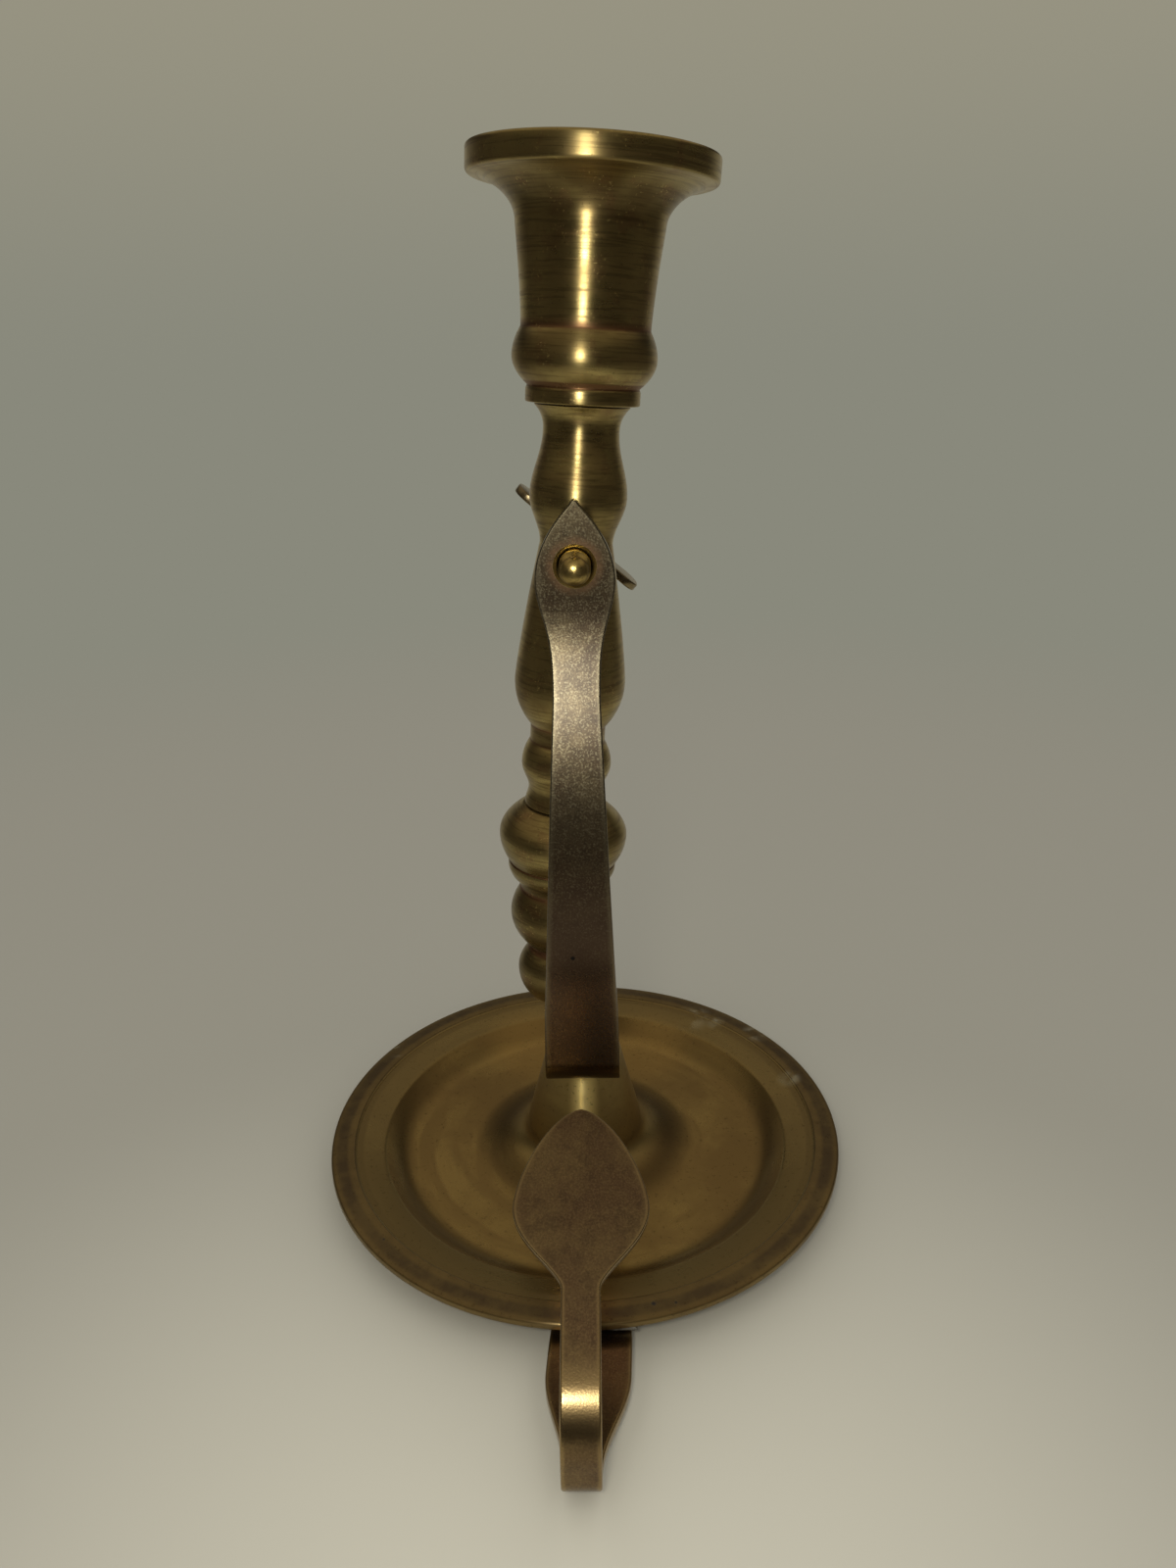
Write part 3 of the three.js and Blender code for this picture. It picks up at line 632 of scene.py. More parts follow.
@dataclass(frozen=True)
class StripFinish:
    """Satin brass strip with brown tarnish, a fine grain and brighter worn edges."""

    name: str
    base: Shade = (126, 104, 68)
    brown: Shade = (103, 80, 54)
    worn: Shade = (182, 166, 124)
    roughness: Point = (0.27, 0.34)
    grain: Noise = Noise(2600.0, 1.0, 0.6)
    speck: Noise = Noise(1300.0, 3.0, 0.75)
    smear: Noise = Noise(75.0, 4.0, 0.62)
    blotch: Noise = Noise(330.0, 4.0, 0.66)
    stroke: Noise = Noise(210.0, 3.0, 0.6)
    stroke_shape: Angles = (9.0, 9.0, 0.35)
    cloud: Layer = Layer(0.34, 0.66)
    mottle: Layer = Layer(0.5, 0.6, 0.35)
    mottle_level: float = 0.78
    salt: Layer = Layer(0.5, 0.66, 0.12)
    salt_speck: Layer = Layer(0.4, 0.62)
    dark: Layer = Layer(0.5, 0.35, 0.248)
    dark_level: float = 0.6
    edge: Layer = Layer(0.6, 0.8, 0.35)
    edge_rough: float = -0.06
    lacquer: float = 0.35
    lacquer_rough: float = 0.3
    stroke_relief: Relief = Relief(0.03, 0.35)
    grain_relief: Relief = Relief(0.02, 0.9)

    def worn_edge(self, graph: Graph) -> Socket:
        """1 where the strip's edges are rubbed bright, and 0 elsewhere."""
        return graph.layer(graph.wear(), self.edge)

    def aged(self, graph: Graph, colour: Socket) -> Socket:
        """The colour after the marks that only this strip has, which is unchanged here."""
        return colour

    def smoothed(self, graph: Graph, rough: Socket) -> Socket:
        """The roughness after the places that only this strip has, which is unchanged here."""
        return rough

    def build(self) -> bpy.types.Material:
        """Wires the material.

        Returns:
            The material.
        """
        graph = Graph(self.name)
        point = graph.object_point()
        grain = graph.noise(point, self.grain)
        stroke = graph.noise(graph.vector("MULTIPLY", point, self.stroke_shape), self.stroke)
        cloud = graph.layer(graph.noise(point, self.smear), self.cloud)
        colour = graph.paint(rgb(*self.base), cloud, self.brown)
        mottle = graph.layer(graph.noise(point, self.blotch), self.mottle)
        colour = graph.paint(colour, mottle, self.brown, self.mottle_level)
        specks = graph.layer(graph.noise(point, self.speck), self.salt_speck)
        colour = graph.paint(colour, graph.times(graph.layer(grain, self.salt), specks), self.worn)
        dark = graph.layer(grain, self.dark)
        colour = graph.paint(colour, dark, self.brown, self.dark_level)
        edge = self.worn_edge(graph)
        colour = graph.paint(self.aged(graph, colour), edge, self.worn)
        graph.set("Coat Weight", self.lacquer)
        graph.set("Coat Roughness", self.lacquer_rough)
        rough = graph.between(graph.most(cloud, mottle, dark), *self.roughness)
        rough = self.smoothed(graph, graph.math("MULTIPLY_ADD", edge, self.edge_rough, rough))
        brushed = graph.bump(stroke, self.stroke_relief)
        return graph.metal(colour, rough, graph.bump(grain, self.grain_relief, brushed))


@dataclass(frozen=True)
class HandleFinish(StripFinish):
    """The handle's brass, rubbed bright where a finger lies over its bend, which is also a painted highlight
    where the lamp's highlight falls.
    """

    # Also the colour of the painted highlight on the bend.
    worn: Shade = (188, 162, 110)
    rubbed_highlight_place: Point = (-74.5, 21.1)
    rubbed: Layer = Layer(8.0, 2.0, 0.5)

    def aged(self, graph: Graph, colour: Socket) -> Socket:
        """The colour with the rubbed bend, partly wear and partly a painted highlight.

        Args:
            graph: the material's graph.
            colour: the strip's colour.

        Returns:
            The colour.
        """
        _, y, z = graph.split(graph.object_point())
        along, height = self.rubbed_highlight_place
        away = graph.vector("DISTANCE", graph.join(0.0, y, z), (0.0, along * MM, height * MM))
        # Paints the bend brighter: wear and a painted highlight.
        return graph.paint(colour, graph.zone(away, self.rubbed), self.worn)


@dataclass(frozen=True)
class ArmFinish(StripFinish):
    """The arm's brass: browner towards its foot, red round the pivot, with one pit."""

    base: Shade = (107, 94, 68)
    brown: Shade = (82, 68, 49)
    worn: Shade = (174, 166, 132)
    # The colour that the arm turns to, browner and darker, towards its foot.
    old: Shade = (84, 62, 45)
    halo: Shade = (128, 99, 70)
    bare: Shade = (198, 178, 114)
    pit: Shade = (20, 15, 10)
    roughness: Point = (0.36, 0.42)
    lacquer: float = 0.45
    salt: Layer = Layer(0.5, 0.66, 0.34)
    dark: Layer = Layer(0.5, 0.35, 0.336)
    smooth_foot: Layer = Layer(78.0, 62.0, 0.16)
    browner_toward_foot: Layer = Layer(108.0, 72.0, 0.75)
    front: Layer = Layer(-11.0, -12.4)
    clear_of_hole: Layer = Layer(6.4, 7.4, 0.5)
    halo_ring: Layer = Layer(6.4, 4.3)
    halo_noise: Noise = Noise(520.0, 4.0, 0.7)
    halo_ragged: Layer = Layer(0.36, 0.6)
    halo_shares: Point = (0.35, 0.9)
    bare_ring: Layer = Layer(4.4, 4.2)
    pit_place: Point = (-1.6, 69.3)
    pit_spot: Layer = Layer(0.6, 0.36)

    def _away(self, graph: Graph, place: Vector) -> tuple[Socket, Socket]:
        """How far the point is from a place, seen from the front, and 1 on the front or 0 behind it."""
        x, y, z = graph.split(graph.vector("SUBTRACT", graph.object_point(), tuple(place * MM)))
        return graph.vector("LENGTH", graph.join(x, 0.0, z)), graph.zone(y, self.front)

    def worn_edge(self, graph: Graph) -> Socket:
        """Where the edges are rubbed bright, apart from the pivot's hole."""
        away, _ = self._away(graph, PIVOT)
        return graph.times(super().worn_edge(graph), graph.zone(away, self.clear_of_hole))

    def smoothed(self, graph: Graph, rough: Socket) -> Socket:
        """The roughness with the smoother foot."""
        height = graph.split(graph.object_point())[2]
        return graph.math("SUBTRACT", rough, graph.zone(height, self.smooth_foot))

    def aged(self, graph: Graph, colour: Socket) -> Socket:
        """The colour with the brown foot, the red halo, the bare ring and the pit.

        Args:
            graph: the material's graph.
            colour: the strip's colour.

        Returns:
            The colour.
        """
        point = graph.object_point()
        # Browner and darker towards the foot.
        colour = graph.paint(colour, graph.zone(graph.split(point)[2], self.browner_toward_foot), self.old)
        away, front = self._away(graph, PIVOT)
        ragged = graph.layer(graph.noise(point, self.halo_noise), self.halo_ragged)
        halo = graph.times(graph.zone(away, self.halo_ring), front, graph.between(ragged, *self.halo_shares))
        colour = graph.paint(colour, halo, self.halo)
        colour = graph.paint(colour, graph.times(graph.zone(away, self.bare_ring), front), self.bare)
        across, height = self.pit_place
        to_pit, _ = self._away(graph, PAN_AXIS + Vector((across, 0.0, height)))
        return graph.paint(colour, graph.zone(to_pit, self.pit_spot), self.pit)


@dataclass(frozen=True)
class SolderFinish:
    """Dull grey soft solder."""

    name: str = "soft solder"
    light: Shade = (136, 134, 124)
    dark: Shade = (84, 80, 70)
    lump: Noise = Noise(420.0, 3.0, 0.6)
    # Where the raised lumps turn darker: the solder's own patchy tone.
    dark_lumps: Layer = Layer(0.35, 0.65)
    roughness: float = 0.55
    metallic: float = 0.8
    relief: Relief = Relief(0.12, 0.8)

    def build(self) -> bpy.types.Material:
        """Wires the material.

        Returns:
            The material.
        """
        graph = Graph(self.name)
        lumps = graph.noise(graph.object_point(), self.lump)
        colour = graph.paint(rgb(*self.light), graph.layer(lumps, self.dark_lumps), self.dark)
        return graph.metal(colour, self.roughness, graph.bump(lumps, self.relief), self.metallic)


# Modelling

LONGEST_CUT = 1.2
SAME_PLACE = 1e-4


def smooth_share(t: float) -> float:
    """An S-shaped share, level at both ends."""
    return (1 - math.cos(math.pi * min(max(t, 0.0), 1.0))) / 2


def dome_share(t: float) -> float:
    """A share that ends level, as over a round end."""
    return math.sqrt(max(0.0, 1 - (1 - t) ** 2))


def close_seam(bm: bmesh.types.BMesh) -> None:
    """Merges the seam of a rolled-up sheet and closes its two ends.

    Args:
        bm: the mesh.
    """
    bmesh.ops.remove_doubles(bm, verts=bm.verts, dist=SAME_PLACE)
    rims = [edge for edge in bm.edges if edge.is_boundary]
    bmesh.ops.holes_fill(bm, edges=rims, sides=0)
    bmesh.ops.recalc_face_normals(bm, faces=bm.faces)


@dataclass
class Outline:
    """A turner's outline: points of radius and height, with the corners to be softened."""

    points: list[Point] = field(default_factory=list)
    corners: list[tuple[int, float]] = field(default_factory=list)
    steps: int = 10

    def to(self, radius: float, height: float, soften: float = 0.0) -> "Outline":
        """Adds a straight cut.

        Args:
            radius: radius at its end.
            height: height at its end.
            soften: how far back the corner at its end is softened.

        Returns:
            The outline.
        """
        self.points.append((radius, height))
        if soften:
            self.corners.append((len(self.points) - 1, soften))
        return self

    def cut(
        self,
        radius: float,
        height: float,
        share: Callable[[float], float],
        steps: int = 0,
        soften: float = 0.0,
    ) -> "Outline":
        """Adds a curved cut.

        Args:
            radius: radius at its end.
            height: height at its end.
            share: share of the way in radius for a share of the way in height.
            steps: points along it, or 0 for the outline's own.
            soften: how far back the corner at its end is softened.

        Returns:
            The outline.
        """
        start = self.points[-1]
        count = steps or self.steps
        for i in range(1, count + 1):
            t = i / count
            r = start[0] + (radius - start[0]) * share(t)
            self.to(r, start[1] + (height - start[1]) * t, soften if i == count else 0.0)
        return self

    def crest(self, radius: float, height: float, fullness: float = 2.0, soften: float = 0.0) -> "Outline":
        """Adds a cut that ends level, at the crest of a bead."""
        return self.cut(radius, height, lambda t: 1 - (1 - t) ** fullness, soften=soften)

    def edge(self, radius: float, height: float, fullness: float = 2.0, soften: float = 0.0) -> "Outline":
        """Adds a cut that starts level, at the crest of a bead."""
        return self.cut(radius, height, lambda t: t**fullness, soften=soften)

    def sweep(self, radius: float, height: float, soften: float = 0.0) -> "Outline":
        """Adds an S-shaped cut, level at both ends."""
        return self.cut(radius, height, smooth_share, soften=soften)


def spun(outline: Outline, closed: bool = False, segments: int = 144) -> bmesh.types.BMesh:
    """A solid turned about +Z.

    Args:
        outline: the turner's outline.
        closed: True for a ring, whose outline comes back to its start.
        segments: faces round it.

    Returns:
        The mesh, in millimetres.
    """
    bm = bmesh.new()
    verts = [bm.verts.new((radius, 0.0, height)) for radius, height in outline.points]
    for first, second in zip(verts, verts[1:]):
        bm.edges.new((first, second))
    if closed:
        bm.edges.new((verts[-1], verts[0]))
    for index, soften in outline.corners:
        corner = [verts[index]]
        bmesh.ops.bevel(
            bm, geom=corner, offset=soften, segments=3, profile=0.5, affect="VERTICES", material=-1
        )
    for edge in [edge for edge in bm.edges if edge.calc_length() > LONGEST_CUT]:
        cuts = math.ceil(edge.calc_length() / LONGEST_CUT) - 1
        bmesh.ops.subdivide_edges(bm, edges=[edge], cuts=cuts)
    bmesh.ops.spin(
        bm,
        geom=bm.verts[:] + bm.edges[:],
        cent=(0, 0, 0),
        axis=(0, 0, 1),
        dvec=(0, 0, 0),
        angle=math.tau,
        steps=segments,
        use_merge=True,
        use_normal_flip=False,
        use_duplicate=False,
    )
    return bm


THREAD_PITCH = 1.27
THREAD_DEPTH = 0.42
THREAD_ROWS = 8
THREAD_FLANK = 1.25


def threaded(outline_radius: float, low: float, high: float, around: int = 48) -> bmesh.types.BMesh:
    """A threaded rod on +Z with plain closed ends.

    Args:
        outline_radius: radius over the crests.
        low: height of its lower end.
        high: height of its upper end.
        around: faces round it.

    Returns:
        The mesh, in millimetres.
    """
    bm = bmesh.new()
    along = max(4, round((high - low) / THREAD_PITCH * THREAD_ROWS))
    bmesh.ops.create_grid(bm, x_segments=around, y_segments=along, size=1.0)
    for vert in bm.verts:
        turn = (vert.co.x + 1) / 2
        height = low + (high - low) * (vert.co.y + 1) / 2
        phase = (height / THREAD_PITCH - turn) % 1.0
        tooth = abs(phase * 2 - 1)
        fade = min(1.0, (height - low) / THREAD_PITCH, (high - height) / THREAD_PITCH)
        radius = outline_radius - THREAD_DEPTH * (1 - min(1.0, tooth * THREAD_FLANK)) * fade
        angle = turn * math.tau
        vert.co = (radius * math.cos(angle), radius * math.sin(angle), height)
    close_seam(bm)
    return bm


@dataclass
class Strip:
    """A bent strip of metal with softened edges, drawn along the middle line of its side view."""

    middle: list[Point]
    half_width: Callable[[float, float, float], float]
    thickness: float
    soften: float = 0.45
    stations: int = 240
    corner_steps: int = 4
    flat_places: tuple[float, ...] = (0.97, 0.8, 0.4, 0.0, -0.4, -0.8, -0.97)
    crowding: float = 0.11
    least_half: float = 0.02

    def _at(self, length: float) -> tuple[Point, Point]:
        """The point and direction of the middle line at a length along it.

        Args:
            length: length from its start.

        Returns:
            The point and the unit direction, both in Y and Z.
        """
        left = length
        for first, second in zip(self.middle, self.middle[1:]):
            step = math.dist(first, second)
            if left <= step or second is self.middle[-1]:
                t = left / step
                direction = ((second[0] - first[0]) / step, (second[1] - first[1]) / step)
                place = (first[0] + direction[0] * step * t, first[1] + direction[1] * step * t)
                return place, direction
            left -= step
        return self.middle[-1], (0.0, 1.0)

    def _section(self) -> list[tuple[float, float, float, float]]:
        """The section's points as side, face, and the corner circle's cosine and sine.

        Returns:
            For each point (side, face, cos, sin), where side and face are -1, 0 or 1.
        """
        ring: list[tuple[float, float, float, float]] = []
        for side, face, start in ((1, -1, -90), (1, 1, 0), (-1, 1, 90), (-1, -1, 180)):
            for step in range(self.corner_steps + 1):
                angle = math.radians(start + step * 90 / self.corner_steps)
                ring.append((side, face, math.cos(angle), math.sin(angle)))
            if side == face:
                for flat in self.flat_places:
                    ring.append((flat * side, face, 0.0, float(face)))
        return ring

    def build(self) -> bmesh.types.BMesh:
        """The strip's mesh, in millimetres.

        Returns:
            The mesh, in millimetres.
        """
        total = sum(math.dist(a, b) for a, b in zip(self.middle, self.middle[1:]))
        section = self._section()
        bm = bmesh.new()
        bmesh.ops.create_grid(bm, x_segments=len(section), y_segments=self.stations, size=1.0)
        for vert in bm.verts:
            column = round((vert.co.x + 1) / 2 * len(section)) % len(section)
            v = (vert.co.y + 1) / 2
            length = (v - math.sin(math.tau * v) * self.crowding) * total
            (y, z), (dy, dz) = self._at(length)
            half = max(self.half_width(y, z, length), self.least_half)
            corner = min(self.soften, half * 0.9, self.thickness * 0.45)
            side, face, cosine, sine = section[column]
            across = side * (half - corner) + (corner * cosine if abs(side) == 1 else 0.0)
            out = face * (self.thickness / 2 - corner) + corner * sine
            vert.co = (across, y - dz * out, z + dy * out)
        close_seam(bm)
        return bm


def arc(centre: Point, radius: float, start: float, end: float, steps: int = 16) -> list[Point]:
    """Points on an arc in the side view, both ends included, with angles from +Y towards +Z."""
    angles = [math.radians(start + (end - start) * i / steps) for i in range(steps + 1)]
    return [(centre[0] + radius * math.cos(a), centre[1] + radius * math.sin(a)) for a in angles]


def bezier(points: Sequence[Point], steps: int = 24) -> list[Point]:
    """Points on a cubic curve, without its first one.

    Args:
        points: its four control points.
        steps: number of steps.

    Returns:
        The points after the first.
    """
    made: list[Point] = []
    for i in range(1, steps + 1):
        t = i / steps
        weights = ((1 - t) ** 3, 3 * t * (1 - t) ** 2, 3 * t * t * (1 - t), t**3)
        made.append(tuple(sum(w * p[k] for w, p in zip(weights, points)) for k in (0, 1)))
    return made


WEAR_ROUNDS = 4
WEAR_GAIN = 1.6


def paint_wear(mesh: bpy.types.Mesh) -> None:
    """Stores how convex the surface is at each vertex: 0 in a groove, 0.5 when flat, 1 on an edge.

    Args:
        mesh: the mesh that gets the attribute, in metres.
    """
    bm = bmesh.new()
    bm.from_mesh(mesh)
    bm.normal_update()
    values: list[float] = []
    for vert in bm.verts:
        bend = 0.0
        for edge in vert.link_edges:
            away = edge.other_vert(vert).co - vert.co
            size = away.length
            if size > 1e-7:
                bend -= vert.normal.dot(away) / (size * size)
        values.append(bend / max(1, len(vert.link_edges)) * MM)
    for _ in range(WEAR_ROUNDS):
        values = [
            (values[v.index] + sum(values[e.other_vert(v).index] for e in v.link_edges))
            / (1 + len(v.link_edges))
            for v in bm.verts
        ]
    attribute = mesh.attributes.new(WEAR, "FLOAT", "POINT")
    wear = [min(max(0.5 + value * WEAR_GAIN, 0.0), 1.0) for value in values]
    attribute.data.foreach_set("value", wear)
    bm.free()


@dataclass
class Piece:
    """One finished piece: its mesh, its finish and the CAD nodes that it stands for."""

    name: str
    mesh: bmesh.types.BMesh
    body: Body
    nodes: tuple[str, ...]
    finish: bpy.types.Material
    slot: Slot
    place: Matrix = field(default_factory=Matrix)
    cutters: tuple[bmesh.types.BMesh, ...] = ()
    sharp: float = 32.0

    def _object(self, bm: bmesh.types.BMesh, name: str) -> bpy.types.Object:
        """An object at the origin from a mesh in millimetres.

        Args:
            bm: the mesh, which is freed.
            name: name of the object.

        Returns:
            The object.
        """
        bmesh.ops.remove_doubles(bm, verts=bm.verts, dist=SAME_PLACE)
        bmesh.ops.recalc_face_normals(bm, faces=bm.faces)
        bmesh.ops.transform(bm, matrix=Matrix.Scale(MM, 4) @ self.place, verts=bm.verts)
        mesh = bpy.data.meshes.new(name)
        bm.to_mesh(mesh)
        bm.free()
        made = bpy.data.objects.new(name, mesh)
        bpy.context.scene.collection.objects.link(made)
        return made

    def finish_piece(self) -> bpy.types.Object:
        """Returns:
            The finished object.
        """
        made = self._object(self.mesh, self.name)
        for number, bm in enumerate(self.cutters):
            cutter = self._object(bm, f"{self.name}_cutter_{number}")
            modifier = made.modifiers.new("cut", "BOOLEAN")
            modifier.operation = "DIFFERENCE"
            modifier.solver = "EXACT"
            modifier.object = cutter
            graph = bpy.context.evaluated_depsgraph_get()
            cut = bpy.data.meshes.new_from_object(made.evaluated_get(graph))
            made.modifiers.clear()
            made.data = cut
            bpy.data.objects.remove(cutter, do_unlink=True)
        mesh = made.data
        mesh.shade_smooth()
        mesh.set_sharp_from_angle(angle=math.radians(self.sharp))
        paint_wear(mesh)
        mesh.materials.clear()
        mesh.materials.append(self.finish)
        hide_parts(*self.nodes)
        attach(made, self.body.value)
        count = len(mesh.polygons)
        log.info("%s: %d faces for %s on %s", self.name, count, ", ".join(self.nodes), self.body.value)
        return made


def rod(radius: float, low: float, high: float, segments: int = 72) -> bmesh.types.BMesh:
    """A plain cylinder on +Z.

    Args:
        radius: its radius.
        low: height of its lower end.
        high: height of its upper end.
        segments: faces round it.

    Returns:
        The mesh, in millimetres.
    """
    bm = bmesh.new()
    place = Matrix.Translation((0, 0, (low + high) / 2))
    bmesh.ops.create_cone(
        bm, cap_ends=True, segments=segments, radius1=radius, radius2=radius, depth=high - low, matrix=place
    )
    return bm


def block(low: Vector, high: Vector) -> bmesh.types.BMesh:
    """A box between two corners.

    Args:
        low: lowest corner.
        high: highest corner.

    Returns:
        The mesh, in millimetres.
    """
    bm = bmesh.new()
    size = high - low
    place = Matrix.Translation((low + high) / 2) @ Matrix.Diagonal((*size, 1.0))
    bmesh.ops.create_cube(bm, size=1.0, matrix=place)
    return bm


def washer_mesh(
    outer: float, inner: float, base: float, thickness: float, soften: float = 0.15
) -> bmesh.types.BMesh:
    """A flat washer on +Z with softened edges.

    Args:
        outer: outer radius.
        inner: radius of the hole.
        base: height of its underside.
        thickness: its thickness.
        soften: softening of its edges.

    Returns:
        The mesh, in millimetres.
    """
    outline = Outline()
    outline.to(inner, base, soften).to(outer, base, soften)
    outline.to(outer, base + thickness, soften).to(inner, base + thickness, soften)
    return spun(outline, closed=True, segments=72)


def turned(bm: bmesh.types.BMesh, matrix: Matrix) -> bmesh.types.BMesh:
    """The same mesh moved by a matrix."""
    bmesh.ops.transform(bm, matrix=matrix, verts=bm.verts)
    return bm


ALONG_Y = Matrix.Rotation(math.radians(-90), 4, "X")
ON_PAN = Matrix.Translation(PAN_AXIS)
AT_PIVOT = Matrix.Translation(PIVOT)
LEANING = AT_PIVOT @ Matrix.Rotation(LEAN, 4, "Y")


# Sub-assemblies


@dataclass
class DripPan:
    """The pan with its rim band, cove, well and hollow boss, and the solder at the handle."""

    radius: float = 63.0
    rim_top: float = 8.4
    rim_thickness: float = 2.1
    rim_band: float = 5.8
    step: float = 0.4
    cove_width: float = 7.2
    cove_drop: float = 1.4
    well_wall: float = 7.0
    floor: float = 2.2
    shell: float = 2.0
    foot_width: float = 13.0
    boss_height: float = 30.2
    boss_top: float = 9.0
    boss_neck: Point = (14.2, 10.0)
    boss_flare: float = 27.0
    boss_roof: float = 3.7
    hole: float = 3.5
    solder_half: Angles = (9.3, 4.45, 0.55)
    solder_middle: Point = (-56.8, 5.45)

    def mesh(self) -> bmesh.types.BMesh:
        """The pan, turned in one piece.

        Returns:
            The mesh, in millimetres.
        """
        rim_under = self.rim_top - self.rim_thickness
        band_edge = self.radius - self.rim_band
        well_edge = band_edge - self.cove_width
        well_foot = well_edge - self.well_wall
        foot_outer = well_foot + self.shell / 2
        foot_inner = foot_outer - self.foot_width
        cove_top = self.rim_top - self.step
        neck, neck_height = self.boss_neck
        outline = Outline()
        outline.to(self.hole, self.boss_height - self.boss_roof)
        outline.to(self.boss_top - self.shell, self.boss_height - self.boss_roof, 0.5)
        outline.to(neck - self.shell, neck_height)
        outline.cut(foot_inner, 0, lambda t: t**2.8, 16, soften=0.6)
        outline.to(foot_outer, 0, 0.5)
        outline.cut(well_edge + self.shell / 2, rim_under, lambda t: t**0.6, 14, soften=0.6)
        outline.to(self.radius, rim_under, 0.6)
        outline.to(self.radius, self.rim_top - 0.25, 0.55)
        outline.to(band_edge + 1.5, self.rim_top)
        outline.cut(band_edge + 0.25, self.rim_top - 0.05, lambda t: t, 2)
        outline.cut(band_edge - 0.35, cove_top - 0.12, smooth_share, 6)
        outline.cut(well_edge, cove_top - self.cove_drop, lambda t: t**0.8, 12, soften=0.5)
        outline.cut(well_foot, self.floor, lambda t: 1 - (1 - t) ** 0.55, 16, soften=0.8)
        outline.to(self.boss_flare, self.floor, 1.0)
        outline.cut(neck, neck_height, lambda t: 1 - (1 - t) ** 2.8, 18, soften=0.9)
        outline.to(self.boss_top, self.boss_height, 0.4)
        outline.to(self.hole, self.boss_height)
        return spun(outline, closed=True, segments=256)

    def solder_mesh(self) -> bmesh.types.BMesh:
        """The lumpy run of solder between the rim and the lower leaf.

        Returns:
            The mesh, in millimetres.
        """
        bm = bmesh.new()
        bmesh.ops.create_cube(bm, size=2.0)
        bmesh.ops.subdivide_edges(bm, edges=bm.edges, cuts=11, use_grid_fill=True)
        half_x, half_y, half_z = self.solder_half
        middle_y, middle_z = self.solder_middle
        for vert in bm.verts:
            x, y, z = vert.co
            wave = 0.10 * math.sin(x * 7.1 + 1.3) + 0.07 * math.sin(x * 17.0 + y * 5.0)
            bulge = 1.0 - 0.10 * abs(z) ** 3
            across = x * half_x * bulge + wave
            along = middle_y + y * half_y * bulge + wave * 1.4
            vert.co = (across, along, middle_z + z * half_z)
        return turned(bm, LEAF_SKEW)

    def build(self) -> None:
        brass = PanFinish("drip pan brass", PAN_AXIS).build()
        solder = SolderFinish().build()
        body = Body.BASE
        Piece("pan_body", self.mesh(), body, ("drip_pan",), brass, Slot.PAN, ON_PAN).finish_piece()
        run = self.solder_mesh()
        Piece("solder_run", run, body, ("handle_solder",), solder, Slot.SOLDER, ON_PAN).finish_piece()


HANDLE_REACH = 95.2
HANDLE_LOWER_RADIUS = 4.5
_skew_at = Matrix.Translation((0.0, HANDLE_LOWER_RADIUS - HANDLE_REACH, 0.0))
LEAF_SKEW = _skew_at @ Matrix.Rotation(math.radians(-3.2), 4, "Z") @ _skew_at.inverted()


